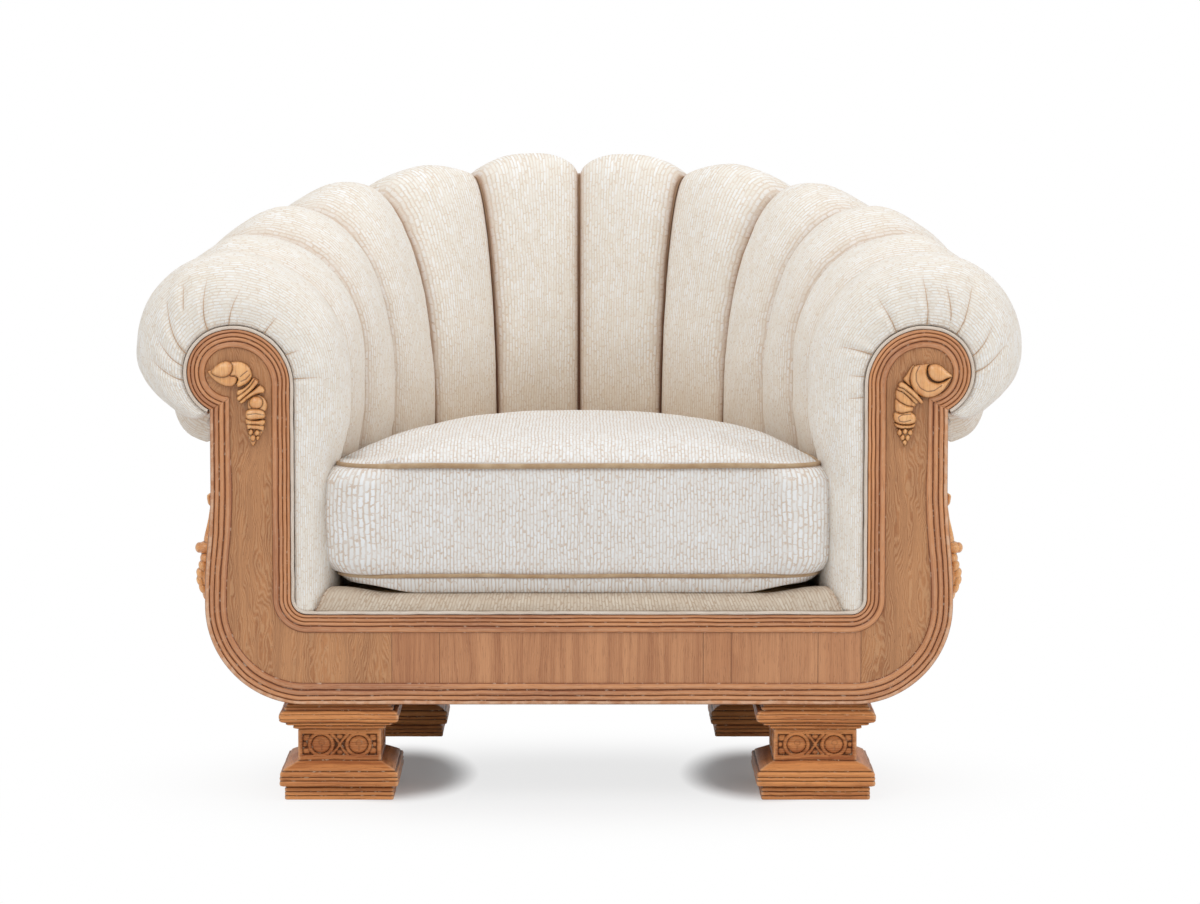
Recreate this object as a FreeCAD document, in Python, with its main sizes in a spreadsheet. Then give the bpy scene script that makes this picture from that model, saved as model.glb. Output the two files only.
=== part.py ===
import FreeCAD, Part
import math
import os
from FreeCAD import Vector

# Channel back armchair. X to the right, Y to the back, Z up, millimetres.
# The front face of the wooden front frame lies at y = 0 while the pieces are made.
# The whole chair is then moved along Y, so that the origin is at the middle of its footprint box.

doc = FreeCAD.newDocument("channel_back_armchair")
sheet = doc.addObject("Spreadsheet::Sheet", "Sizes")

SIZES = [
    # front frame
    ("rail_bottom", 123.5, "height of the front frame's lower edge"),
    ("rail_top", 237.5, "height of the front rail's upper edge"),
    ("inner_half", 361.0, "half the clear width between the arm facings"),
    ("facing_width", 100.0, "width of an arm facing at the waist"),
    ("hull_bulge", 8.0, "how far the facing swells outward below the waist"),
    ("corner_radius", 140.0, "lower corner of the front frame"),
    ("waist_height", 400.0, "height where the swelling ends"),
    ("scroll_height", 526.0, "height of the scroll's large centre"),
    ("scroll_radius", 70.0, "large arc of the scroll head"),
    ("lobe_radius", 53.0, "small outer arc of the scroll head"),
    ("lobe_lean", 17.4, "degrees from the vertical to the point where the two arcs meet"),
    ("inner_corner", 12.0, "radius between facing and rail"),
    ("inner_reeding", 23.0, "width of the inner reeded moulding"),
    ("outer_reeding", 27.5, "width of the outer reeded moulding"),
    ("reeding_depth", 5.0, "thickness of the reeded mouldings"),
    ("veneer_depth", 2.0, "thickness of the veneered field panels"),
    ("board_depth", 25.0, "thickness of the front frame's boards"),
    ("left_joint", 235.0, "distance of the left board joint from the middle"),
    ("right_joint", 300.0, "distance of the right board joint from the middle"),
    ("joint_gap", 0.2, "clearance between glued faces"),
    # tub
    ("arm_setback", 45.0, "distance from the arm facing's inner edge in to the channel seams"),
    ("tub_depth", 560.0, "depth of the seat space at the channel seams"),
    ("crest_back", 773.0, "seam height on the crest at the middle of the back"),
    ("crest_arm", 656.0, "seam height on the crest at the arm front"),
    ("reach_back", 66.0, "setback of the crest line behind the seat space, middle of the back"),
    ("reach_arm", 115.0, "the same at the arm front"),
    ("shoulder_back", 420.0, "height over which the back curves to its crest"),
    ("shoulder_arm", 130.0, "the same at the arm front"),
    ("roll_radius", 97.0, "radius of the outer roll at the seams"),
    ("roll_end", 162.0, "degrees of the outer roll at the arm front"),
    ("pad_depth", 38.0, "thickness of a channel at its seams"),
    ("crown_high", 27.0, "crown of a channel over the crest"),
    ("crown_low", 7.0, "crown of a channel behind the cushion"),
    ("crown_tuck", 12.0, "crown of a channel at the end of the roll"),
    ("crown_start", 420.0, "height at which the crown begins to grow"),
    ("crown_full", 570.0, "height at which the crown is full"),
    ("level_step", 50.0, "spacing of a channel's cross-sections"),
    ("seam_gap", 0.6, "gap between neighbouring channels"),
    ("cloth_gap", 0.4, "clearance between soft pieces"),
    ("core_gap", 5.0, "clearance between the roll cores and the channels"),
    ("cover_drop", 17.0, "distance from the channels' ends down to the outside covers"),
    ("lining_gap", 0.9, "clearance between the lining and the channels"),
    ("lining_depth", 2.5, "thickness of the tub lining"),
    ("lining_foot", 220.0, "height of the lining's lower edge"),
    ("panel_depth", 6.0, "thickness of the outside covers"),
    # carcass
    ("hull_top", 290.0, "height of the wooden band's upper edge"),
    ("hull_depth", 18.0, "thickness of the wooden band"),
    ("back_setback", 95.0, "distance from the seat space back to the rear of the band"),
    ("hull_corner", 220.0, "plan radius of the band's back corners"),
    ("hull_rounding", 45.0, "lower edge rounding of the band at the back"),
    ("stile_depth", 60.0, "depth of the side stiles behind the facings"),
    ("stile_width", 18.0, "thickness of the side stiles"),
    ("frame_low", 150.0, "height of the seat frame's underside"),
    ("frame_high", 215.0, "height of the seat frame's top"),
    ("rail_clearance", 8.7, "clearance between the side seat rails and the wooden band"),
    ("frame_back_gap", 48.0, "distance from the rear of the band forward to the seat frame"),
    ("side_rail_gap", 19.0, "how much the side seat rails are shorter than the seat frame"),
    ("rail_width", 30.0, "width of the seat rails"),
    ("top_rail_width", 34.0, "width of the curved top rail"),
    ("top_rail_depth", 30.0, "height of the curved top rail"),
    ("top_rail_drop", 90.0, "distance from the crest seams to the top rail"),
    ("post_width", 38.0, "width of the arm posts"),
    ("post_inset", 37.0, "distance from the arm facing's outer edge in to the arm posts' middle"),
    ("post_foot", 230.0, "height of the arm posts' lower ends"),
    ("block_width", 60.0, "width of the foot blocks"),
    ("block_length", 98.0, "length of the foot blocks"),
    ("stay_width", 26.0, "width of the back stays"),
    ("stay_depth", 16.0, "depth of the back stays"),
    ("stay_setback", 15.0, "distance from the top rail's middle forward to the stays' middle"),
    # seat
    ("strap_width", 50.0, "width of a webbing strap"),
    ("strap_depth", 1.6, "thickness of a webbing strap"),
    ("burlap_depth", 1.2, "thickness of the burlap over the straps"),
    ("channel_foot", 250.0, "height of the channels' lower ends"),
    ("deck_top", 262.0, "height of the deck under the cushion"),
    ("cushion_gap", 17.0, "distance between the cushion and the channel seams"),
    ("cushion_front", 12.0, "distance from the front face to the front of the cushion"),
    ("cushion_corner", 45.0, "plan radius of the cushion's front corners"),
    ("cushion_rounding", 200.0, "plan radius of the cushion's back"),
    ("lower_seam", 285.0, "height of the lower piping"),
    ("upper_seam", 424.0, "height of the upper piping"),
    ("dome_top", 457.0, "height of the cushion's crown"),
    ("upper_piping", 3.2, "radius of the upper piping"),
    ("lower_piping", 2.6, "radius of the lower piping"),
    ("welt_radius", 2.2, "radius of the welt round the wood"),
    ("facing_gap", 7.0, "distance between the facings' edges and the arm fronts, filled by the welt"),
    # feet
    ("foot_cap", 150.0, "width of the front foot's cap"),
    ("foot_neck", 104.0, "width of the foot's neck"),
    ("front_extra", 21.0, "how much deeper than wide a front foot is"),
    ("rear_extra", -14.0, "how much deeper than wide a rear foot is"),
    ("foot_base", 149.0, "width of the foot's base moulding"),
    ("foot_plinth", 137.0, "width of the foot's plinth"),
    ("plinth_top", 20.0, "height of the plinth"),
    ("base_top", 40.0, "height of the base moulding"),
    ("neck_foot", 57.0, "height where the neck begins"),
    ("neck_top", 91.5, "height where the neck ends"),
    ("cap_waist", 100.0, "height where the cap's cove ends"),
    ("cap_top", 117.0, "height where the cap's band ends"),
    ("foot_inset", 162.0, "distance from the arm facing's outer edge in to the front feet's middle"),
    ("foot_front", 2.0, "distance from the front face to the front of the cap"),
    ("rear_inset", 205.0, "distance from the arm facing's outer edge in to the rear feet's middle"),
    ("rear_foot_gap", 167.0, "distance from the rear of the band to the front of the rear caps"),
    ("glide_radius", 12.0, "radius of the glides under the feet"),
    ("glide_depth", 3.0, "thickness of the glides"),
    ("glide_recess", 1.5, "how deep the glides are let into the feet"),
    ("glide_reach", 42.0, "distance of a glide from the foot's centre"),
    ("bolt_radius", 5.0, "radius of the hanger bolts"),
    ("bolt_reach", 24.0, "length of the hanger bolts above and below the joint"),
    ("bolt_clearance", 0.2, "clearance round the bolts"),
    # carvings
    ("carving_depth", 9.0, "how far the scroll carvings stand out"),
    ("carving_gap", 0.2, "clearance behind the scroll carvings"),
    ("hull_clearance", 0.7, "clearance behind the side carvings"),
    ("side_carving_foot", 253.0, "height of the side carving's lower end"),
    ("side_carving_top", 385.0, "height of the side carving's upper end"),
]


def followed_sizes(given):
    """Sizes that follow from the given ones, as more rows for the sheet."""
    outer_half = given["inner_half"] + given["facing_width"]
    tub_half = given["inner_half"] - given["arm_setback"]
    hull_back = given["tub_depth"] + given["back_setback"]
    frame_rear = hull_back - given["frame_back_gap"]
    rounding = given["corner_radius"] - given["joint_gap"]
    rise = given["rail_bottom"] + rounding - given["frame_low"]
    band_inside = math.sqrt((rounding - given["hull_depth"]) ** 2 - rise ** 2)
    band_foot = outer_half + given["hull_bulge"] - given["corner_radius"]
    frame_half = band_foot + band_inside - given["rail_clearance"]
    return [
        ("outer_half", outer_half, "half width over the arm facings at the waist"),
        ("tub_half", tub_half, "half width of the seat space at the channel seams"),
        ("hull_back", hull_back, "distance from the front face to the back of the band"),
        ("frame_half", frame_half, "half width over the seat frame"),
        ("frame_rear", frame_rear, "distance from the front face to the end of the seat frame"),
        ("side_rail_end", frame_rear - given["side_rail_gap"], "the same to the end of the side seat rails"),
        ("post_side", outer_half - given["post_inset"], "distance of the arm posts from the middle"),
        ("cushion_half", tub_half - given["cushion_gap"], "half width of the cushion"),
        ("cushion_rear", given["tub_depth"] - given["cushion_gap"], "the same to the cushion's back"),
        ("foot_side", outer_half - given["foot_inset"], "distance of the front feet from the middle"),
        ("rear_side", outer_half - given["rear_inset"], "distance of the rear feet from the middle"),
        ("rear_front", hull_back - given["rear_foot_gap"], "distance from the front face to the rear caps"),
    ]


ROWS = SIZES + followed_sizes({name: number for name, number, note in SIZES})
for row, (name, number, note) in enumerate(ROWS, start=1):
    sheet.set("A%d" % row, name)
    sheet.set("B%d" % row, "%.4f" % number)
    sheet.set("C%d" % row, note)
    sheet.setAlias("B%d" % row, name)
doc.recompute()


class Values:
    """The spreadsheet's cells, read back by their aliases."""

    def __getattr__(self, name):
        return float(sheet.get(name))


v = Values()
parts = []


def keep(shape, label):
    """Adds a computed shape to the document under its label."""
    feature = doc.addObject("Part::Feature", label)
    feature.Label = label
    feature.Shape = shape
    parts.append(feature)
    return feature


def bind(thing, **cells):
    """Binds properties to spreadsheet expressions; x, y and z stand for the place."""
    for name, text in cells.items():
        path = ".Placement.Base." + name if name in ("x", "y", "z") else name
        thing.setExpression(path, text)
    return thing


def cells(text):
    """Writes Sizes. before each alias in an expression."""
    words = []
    for word in text.split(" "):
        known = word.strip("()") in [name for name, number, note in ROWS]
        words.append(word.replace(word.strip("()"), "Sizes." + word.strip("()")) if known else word)
    return " ".join(words)


# Flat outlines in the front plane

def front(x, z, y=0.0):
    return Vector(x, y, z)


def arc_through(a, b, c):
    return Part.Arc(a, b, c).toShape()


def line(a, b):
    return Part.makeLine(a, b)


def polar(centre, radius, angle, side):
    """A point round a centre; the angle turns outward from the inner side over the top."""
    a = math.radians(angle)
    return (centre[0] - side * radius * math.cos(a), centre[1] + radius * math.sin(a))


def scroll_centres(side):
    lean = math.radians(v.lobe_lean)
    large = (side * (v.inner_half + v.scroll_radius), v.scroll_height)
    shift = v.scroll_radius - v.lobe_radius
    small = (large[0] + side * shift * math.sin(lean), large[1] + shift * math.cos(lean))
    return large, small


def notch_angle(side, inset, post_inset):
    """Angle on the small arc where it meets the outer edge of the post."""
    large, small = scroll_centres(side)
    reach = v.outer_half - post_inset - abs(small[0])
    return 180.0 + math.degrees(math.asin(math.sqrt(1 - (reach / (v.lobe_radius - inset)) ** 2)))


def inner_half_chain(side, inset, post_inset, y):
    """Edges from the notch round the scroll head and down to the middle of the rail."""
    large, small = scroll_centres(side)
    big = v.scroll_radius - inset
    little = v.lobe_radius - inset
    meet = 90.0 + v.lobe_lean
    end = notch_angle(side, inset, post_inset)
    corner = (side * (v.inner_half - v.inner_corner), v.rail_top + v.inner_corner)
    bend = v.inner_corner + inset

    def round_scroll(centre, radius, angle):
        x, z = polar(centre, radius, angle, side)
        return front(x, z, y)

    def round_corner(angle):
        a = math.radians(angle)
        return front(corner[0] + side * bend * math.cos(a), corner[1] - bend * math.sin(a), y)

    edges = [
        arc_through(round_scroll(small, little, end), round_scroll(small, little, (end + meet) / 2),
                    round_scroll(small, little, meet)),
        arc_through(round_scroll(large, big, meet), round_scroll(large, big, meet / 2),
                    round_scroll(large, big, 0)),
        line(round_scroll(large, big, 0), round_corner(0)),
        arc_through(round_corner(0), round_corner(45), round_corner(90)),
        line(round_corner(90), front(0, v.rail_top - inset, y)),
    ]
    return edges


def outer_half_chain(side, inset, head_inset, y):
    """Edges from the notch down the outside and round the corner to the middle of the rail."""
    large, small = scroll_centres(side)
    start = polar(small, v.lobe_radius - head_inset, notch_angle(side, head_inset, inset), side)
    centre_z = v.rail_bottom + v.corner_radius
    rise = v.waist_height - centre_z
    sweep = (rise ** 2 + v.hull_bulge ** 2) / (4 * v.hull_bulge)
    tilt = math.asin(rise / 2 / sweep)
    widest = v.outer_half + v.hull_bulge

    def point(x, z):
        return front(side * x, z, y)

    def convex(angle):
        radius = sweep - inset
        return point(widest - sweep + radius * math.cos(angle), centre_z + radius * math.sin(angle))

    def concave(angle):
        radius = sweep + inset
        x = v.outer_half + sweep - radius * math.cos(angle)
        return point(x, v.waist_height - radius * math.sin(angle))

    def corner(angle):
        radius = v.corner_radius - inset
        a = math.radians(angle)
        return point(widest - v.corner_radius + radius * math.cos(a), centre_z - radius * math.sin(a))

    return [
        line(front(start[0], start[1], y), point(v.outer_half - inset, v.waist_height)),
        arc_through(concave(0), concave(tilt / 2), concave(tilt)),
        arc_through(convex(tilt), convex(tilt / 2), convex(0)),
        arc_through(corner(0), corner(45), corner(90)),
        line(corner(90), front(0, v.rail_bottom + inset, y)),
    ]


def closed(edges):
    return Part.Wire(Part.__sortEdges__(edges))


def frame_face(inner_inset, outer_inset, y):
    """The frame's outline as a face, with its inner and outer edges moved inward."""
    edges = []
    for side in (-1, 1):
        edges += inner_half_chain(side, inner_inset, outer_inset, y)
        edges += outer_half_chain(side, outer_inset, inner_inset, y)
    return Part.Face(closed(edges))


def inner_band(width, post_inset, y):
    """The band that follows the inner edge, mitred at the two notches."""
    edges = []
    for side in (-1, 1):
        outer = inner_half_chain(side, 0.0, 0.0, y)
        inner = inner_half_chain(side, width, post_inset, y)
        edges += outer + inner
        edges.append(line(outer[0].Vertexes[0].Point, inner[0].Vertexes[0].Point))
    return Part.Face(closed(edges))


def between(shape, x_low, x_high):
    """The part of a shape between two upright planes."""
    box = shape.BoundBox
    margin = v.board_depth
    cutter = Part.makeBox(x_high - x_low, box.YLength + 2 * margin, box.ZLength + 2 * margin,
                          Vector(x_low, box.YMin - margin, box.ZMin - margin))
    return shape.common(cutter).Solids[0]


def front_frame():
    through = Vector(0, v.board_depth, 0)
    board = frame_face(0.0, 0.0, v.reeding_depth).extrude(through)
    depth = Vector(0, v.reeding_depth, 0)
    inner = inner_band(v.inner_reeding, v.outer_reeding, 0.0).extrude(depth)
    border = frame_face(0.0, 0.0, 0.0).cut(frame_face(v.inner_reeding, v.outer_reeding, 0.0))
    outer = border.extrude(depth).cut(inner)
    field_y = v.reeding_depth - v.veneer_depth
    inset = (v.inner_reeding + v.joint_gap, v.outer_reeding + v.joint_gap)
    veneer = frame_face(inset[0], inset[1], field_y).extrude(Vector(0, v.veneer_depth, 0)).cut(outer)
    wide = v.outer_half + v.board_depth + v.hull_bulge
    half = v.joint_gap / 2
    spans = {
        "left": (-wide, -v.left_joint - half),
        "middle": (-v.left_joint + half, v.right_joint - half),
        "right": (v.right_joint + half, wide),
    }
    keep(between(board, *spans["left"]), "arm_facing_left")
    keep(between(board, *spans["middle"]), "front_rail")
    keep(between(board, *spans["right"]), "arm_facing_right")
    keep(Part.makeCompound([between(veneer, *span) for span in spans.values()]), "veneer_panels")
    keep(inner.Solids[0], "inner_reeding")
    keep(max(outer.Solids, key=lambda solid: solid.Volume), "outer_reeding")


# The tub. A station is a number of channels counted from the middle of the back:
# 0 is the middle seam and 6 is the front of an arm. Negative stations are on the left.

CHANNELS_PER_SIDE = 6
fan_shares = (0.0, 0.31, 0.57, 0.755, 0.88, 0.955, 1.0)
crest_shares = (0.0, 0.03, 0.14, 0.38, 0.64, 0.88, 1.0)
reach_shares = (0.0, 0.12, 0.80, 1.10, 1.40, 1.30, 1.0)
shoulder_shares = (0.0, 0.07, 0.28, 0.66, 0.93, 0.98, 1.0)
roll_shares = (0.91, 1.03, 1.28, 1.13, 1.01, 1.0, 1.0)
roll_end_shares = (0.99, 0.95, 0.84, 0.90, 0.98, 1.0, 1.0)

# Stations of the arm front's crown, the stays, and the ends of the rail and the outside covers.
ARM_CROWN = 5.45
BACK_STAY = 0.9
SIDE_STAY = 3.4
RAIL_END = 5.58
BACK_COVER_END = 1.6
ARM_COVER_END = 5.2
LOFT_STATIONS = 9
SMALL = 1e-6


def along(shares, station):
    """A smooth curve through the shares, even about the middle of the back."""
    place = abs(station)
    low = min(int(place), CHANNELS_PER_SIDE - 1)
    f = place - low

    def value(index):
        index = abs(index)
        if index > CHANNELS_PER_SIDE:
            return 2 * shares[CHANNELS_PER_SIDE] - shares[2 * CHANNELS_PER_SIDE - index]
        return shares[index]

    a, b, c, d = value(low - 1), value(low), value(low + 1), value(low + 2)
    return b + f * ((c - a) / 2 + f * ((a - 2.5 * b + 2 * c - d / 2) + f * (1.5 * (b - c) + (d - a) / 2)))


def blend(back, arm, shares, station):
    return back + (arm - back) * along(shares, station)


def look_up(table, wanted):
    """The angle at which a table of (angle, length) reaches a length."""
    index = 1
    while index < len(table) - 1 and table[index][1] < wanted:
        index += 1
    (a0, s0), (a1, s1) = table[index - 1], table[index]
    return a0 + (a1 - a0) * (wanted - s0) / (s1 - s0)


def quarter_points(steps=180):
    """Lengths along the quarter ellipse of the seam line, from the back to the front."""
    table = [(0.0, 0.0)]
    previous = (0.0, v.tub_depth)
    for i in range(1, steps + 1):
        a = math.pi / 2 * i / steps
        point = (v.tub_half * math.sin(a), v.tub_depth * math.cos(a))
        table.append((a, table[-1][1] + math.dist(previous, point)))
        previous = point
    return table


quarter = quarter_points()
channel_width = quarter[-1][1] / CHANNELS_PER_SIDE
half_gap = v.seam_gap / 2 / channel_width


def seam_place(station):
    """Plan point of the seam line at a station, and the plan direction of its section."""
    side = -1 if station < 0 else 1
    wanted = channel_width * abs(station)
    a = look_up(quarter, wanted)
    fan = math.radians(90.0 * along(fan_shares, station))
    return (side * v.tub_half * math.sin(a), v.tub_depth * math.cos(a)), (side * math.sin(fan), math.cos(fan))


def place(station, out, z):
    point, way = seam_place(station)
    return Vector(point[0] + out * way[0], point[1] + out * way[1], z)


# A level is (stage, share of that stage's length): 0 runs up the inside, 1 curves over to the crest
# and 2 goes round the outer roll.

def section_sizes(station):
    crest = blend(v.crest_back, v.crest_arm, crest_shares, station)
    reach = blend(v.reach_back, v.reach_arm, reach_shares, station)
    shoulder = blend(v.shoulder_back, v.shoulder_arm, shoulder_shares, station)
    roll = v.roll_radius * along(roll_shares, station)
    end = math.radians(v.roll_end * along(roll_end_shares, station))
    return crest, reach, shoulder, roll, end


def shoulder_lengths(reach, shoulder, steps=90):
    """Lengths along the shoulder's quarter ellipse as (angle, length)."""
    table = [(0.0, 0.0)]
    for i in range(1, steps + 1):
        a = math.pi / 2 * (i - 0.5) / steps
        step = math.hypot(reach * math.sin(a), shoulder * math.cos(a)) * math.pi / 2 / steps
        table.append((math.pi / 2 * i / steps, table[-1][1] + step))
    return table


def levels_for(station):
    """Levels at even steps along a station's whole section."""
    crest, reach, shoulder, roll, end = section_sizes(station)
    lengths = (crest - shoulder - v.channel_foot, shoulder_lengths(reach, shoulder)[-1][1], roll * end)
    steps = round(sum(lengths) / v.level_step)
    levels = []
    for i in range(steps + 1):
        along_section = sum(lengths) * i / steps
        stage = 0
        while stage < 2 and along_section > lengths[stage]:
            along_section -= lengths[stage]
            stage += 1
        levels.append((stage, min(1.0, along_section / lengths[stage])))
    return levels


def section(station, level, depth):
    """A point of the station's section, moved by a depth below its seam surface, as (out, height)."""
    crest, reach, shoulder, roll, end = section_sizes(station)
    stage, share = level
    if stage == 0:
        return depth, v.channel_foot + (crest - shoulder - v.channel_foot) * share
    if stage == 1:
        table = shoulder_lengths(reach, shoulder)
        a = look_up(table, table[-1][1] * share)
        out, z = reach * (1 - math.cos(a)), crest - shoulder + shoulder * math.sin(a)
        slope = (reach * math.sin(a), shoulder * math.cos(a))
        length = math.hypot(*slope)
        return out + depth * slope[1] / length, z - depth * slope[0] / length
    a = end * share
    return reach + (roll - depth) * math.sin(a), crest - roll + (roll - depth) * math.cos(a)


def smooth(share):
    share = min(1.0, max(0.0, share))
    return share * share * (3 - 2 * share)


def crown(station, level):
    """Height of the channel's crown over its seams at a level."""
    stage, share = level
    if stage == 2:
        return v.crown_high + (v.crown_tuck - v.crown_high) * smooth(2 * share - 1)
    height = section(station, level, 0.0)[1]
    grown = smooth((height - v.crown_start) / (v.crown_full - v.crown_start))
    return v.crown_low + (v.crown_high - v.crown_low) * grown


def tub_point(station, level, depth):
    out, z = section(station, level, depth)
    return place(station, out, z)


def flatten(points):
    """Moves points onto the plane through the first three."""
    a, b, c = points[:3]
    normal = (b - a).cross(c - a).normalize()
    return [p - normal * (p - a).dot(normal) for p in points]


def channel_wire(first, last, level, flat):
    """One closed section of a channel, with a crowned face and a curved back."""
    middle = (first + last) / 2
    first, last = first + half_gap, last - half_gap
    points = [tub_point(first, level, 0.0), tub_point(last, level, 0.0), tub_point(last, level, v.pad_depth),
              tub_point(middle, level, -crown(middle, level)), tub_point(first, level, v.pad_depth),
              tub_point(middle, level, v.pad_depth)]
    if flat:
        points = flatten(points)
    a, b, b_back, top, a_back, back = points
    return Part.Wire([arc_through(a, top, b), line(b, b_back), arc_through(b_back, back, a_back),
                      line(a_back, a)])


def channel(first, last):
    levels = levels_for((first + last) / 2)
    wires = [channel_wire(first, last, level, level in (levels[0], levels[-1])) for level in levels]
    return Part.makeLoft(wires, True, False)


# The arm's front channel: its crown as shares of the rise beside the seam and beside the facing,
# its nose as a share of the distance to the facing, and the share of the roll that is round.
arm_front_shares = (0.35, 0.5, 0.16)
round_share = 0.8


def facing_edge(side, level, y):
    """Point just outside the arm facing that belongs to a level."""
    large, small = scroll_centres(side)
    gap = v.facing_gap
    stage, share = level
    meet = 90.0 + v.lobe_lean
    if stage == 0:
        z = v.channel_foot + (v.scroll_height - v.channel_foot) * share
        return front(side * (v.inner_half - gap), z, y)
    if stage == 1:
        x, z = polar(large, v.scroll_radius + gap, meet * share, side)
        return front(x, z, y)
    end = notch_angle(side, -gap, -gap)
    turn = min(1.0, share / round_share)
    x, z = polar(small, v.lobe_radius + gap, meet + (end - meet) * turn, side)
    drop = max(0.0, share - round_share) / (1 - round_share)
    floor_z = section(CHANNELS_PER_SIDE, (2, 1.0), 0.0)[1]
    return front(x, z + (floor_z - z) * drop, y)


def arm_front_wire(side, level, flat):
    """One closed section of the arm's front channel, rounded forward onto the facing."""
    start = side * (CHANNELS_PER_SIDE - 1 + half_gap)
    middle = side * ARM_CROWN
    rise = crown(middle, level)
    seam = tub_point(start, level, 0.0)
    top = tub_point(middle, level, -rise)
    lip = facing_edge(side, level, v.reeding_depth)
    back = facing_edge(side, level, v.reeding_depth + v.board_depth + v.cloth_gap)
    inner = tub_point(start, level, v.pad_depth)
    seam_rise, lip_rise, nose = arm_front_shares
    ahead = (seam + top) / 2 + (top - (seam + lip) / 2).normalize() * rise * seam_rise
    forward = Vector(0, -1, 0) * (top - lip).Length * nose
    shoulder = (top + lip) / 2 + forward + (top - inner).normalize() * rise * lip_rise
    points = [seam, inner, lip, back, top, ahead, shoulder]
    if flat:
        points = flatten(points)
        seam, inner, lip, back, top, ahead, shoulder = points
    return Part.Wire([arc_through(seam, ahead, top), arc_through(top, shoulder, lip), line(lip, back),
                      line(back, inner), line(inner, seam)])


def arm_front(side):
    levels = levels_for(CHANNELS_PER_SIDE - 0.5)
    wires = [arm_front_wire(side, level, level in (levels[0], levels[-1])) for level in levels]
    return Part.makeLoft(wires, True, False)


def channels():
    keep(arm_front(-1), "channel_01")
    for number in range(2, 2 * CHANNELS_PER_SIDE):
        first = number - 1 - CHANNELS_PER_SIDE
        keep(channel(first, first + 1), "channel_%02d" % number)
    keep(arm_front(1), "channel_12")


def tub_loft(stations, outline, ruled=False):
    """A loft through flat outlines; outline gives a station's edges."""
    return Part.makeLoft([closed(outline(station)) for station in stations], True, ruled)


def spread(first, last, count=LOFT_STATIONS):
    return [first + (last - first) * i / (count - 1) for i in range(count)]


def rail_levels(station):
    """Heights of the top rail's underside and top."""
    crest = section_sizes(station)[0]
    top = crest - v.top_rail_drop
    return top - v.top_rail_depth, top


def inside_out(station, depth, z):
    """Distance out to the surface at a depth below the inner face, at a height."""
    low, high = 0.0, 1.0
    for i in range(30):
        share = (low + high) / 2
        if section(station, (1, share), depth)[1] < z:
            low = share
        else:
            high = share
    return section(station, (1, low), depth)[0], low


def roll_out(station, depth, z):
    crest, reach, shoulder, roll, end = section_sizes(station)
    return reach + math.sqrt((roll - depth) ** 2 - (z - crest + roll) ** 2)


def lining_outline(station):
    near = v.pad_depth + v.lining_gap
    far = near + v.lining_depth
    top = rail_levels(station)[0] - v.cloth_gap
    edges = []
    ends = []
    for depth in (near, far):
        foot = place(station, depth, v.lining_foot)
        start = tub_point(station, (1, 0.0), depth)
        share = inside_out(station, depth, top)[1]
        share = max(share, v.lining_depth / v.shoulder_arm)
        end = tub_point(station, (1, share), depth)
        edges += [line(foot, start), arc_through(start, tub_point(station, (1, share / 2), depth), end)]
        ends.append((foot, end))
    edges += [line(ends[0][0], ends[1][0]), line(ends[0][1], ends[1][1])]
    return edges


def core_outline(station):
    """Padding inside the roll: it stands on the top rail and is rounded over the top."""
    depth = v.pad_depth + v.core_gap
    crest, reach, shoulder, roll, end = section_sizes(station)
    low = rail_levels(station)[1] + 2 * v.cloth_gap
    high = (low + crest - depth) / 2
    inner = [inside_out(station, depth, z)[0] for z in (low, high)]
    outer = [roll_out(station, depth, z) for z in (low, high)]
    middle = (inner[1] + outer[1]) / 2
    top = crest - roll + math.sqrt((roll - depth) ** 2 - (middle - reach) ** 2)
    a, b = place(station, inner[0], low), place(station, inner[1], high)
    c, d = place(station, outer[1], high), place(station, outer[0], low)
    return [line(a, b), arc_through(b, place(station, middle, top), c), line(c, d), line(d, a)]


def straight_edges(corners):
    """Straight edges round a list of corners."""
    return [line(a, b) for a, b in zip(corners, corners[1:] + corners[:1])]


def box_outline(station, near, far, low, high):
    corners = [(near, low), (far, low), (far, high), (near, high)]
    return straight_edges([place(station, *corner) for corner in corners])


def rail_centre(station):
    low, high = rail_levels(station)
    depth = v.pad_depth + v.lining_gap + v.lining_depth
    middle = (low + high) / 2
    return (inside_out(station, depth, middle)[0] + roll_out(station, depth, middle)) / 2


def top_rail_outline(station):
    low, high = rail_levels(station)
    middle = rail_centre(station)
    half = v.top_rail_width / 2
    return box_outline(station, middle - half, middle + half, low, high)


def hull_reach(station):
    """Distance out from the seam line to the wooden band's outer face."""
    point, way = seam_place(station)
    half = v.outer_half + v.hull_bulge - v.joint_gap
    centre = (half - v.hull_corner, v.hull_back - v.hull_corner)
    x, y = abs(point[0]), point[1]
    dx, dy = abs(way[0]), way[1]
    to_side = (half - x) / dx if dx > SMALL else v.hull_back
    to_back = (v.hull_back - y) / dy if dy > SMALL else v.hull_back
    reach = min(to_side, to_back)
    if x + reach * dx > centre[0] and y + reach * dy > centre[1]:
        px, py = x - centre[0], y - centre[1]
        along_way = px * dx + py * dy
        reach = -along_way + math.sqrt(along_way ** 2 - px * px - py * py + v.hull_corner ** 2)
    return reach


def panel_outline(station):
    """Outside cover, from the wooden band up to the end of the roll."""
    foot = hull_reach(station) - v.panel_depth / 2
    out, top = section(station, (2, 1.0), 0.0)
    top -= v.cover_drop
    head = out - v.panel_depth / 3
    low = v.hull_top + v.cloth_gap
    corners = [(foot - v.panel_depth, low), (foot, low), (head, top), (head - v.panel_depth, top)]
    return straight_edges([place(station, *corner) for corner in corners])


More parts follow.
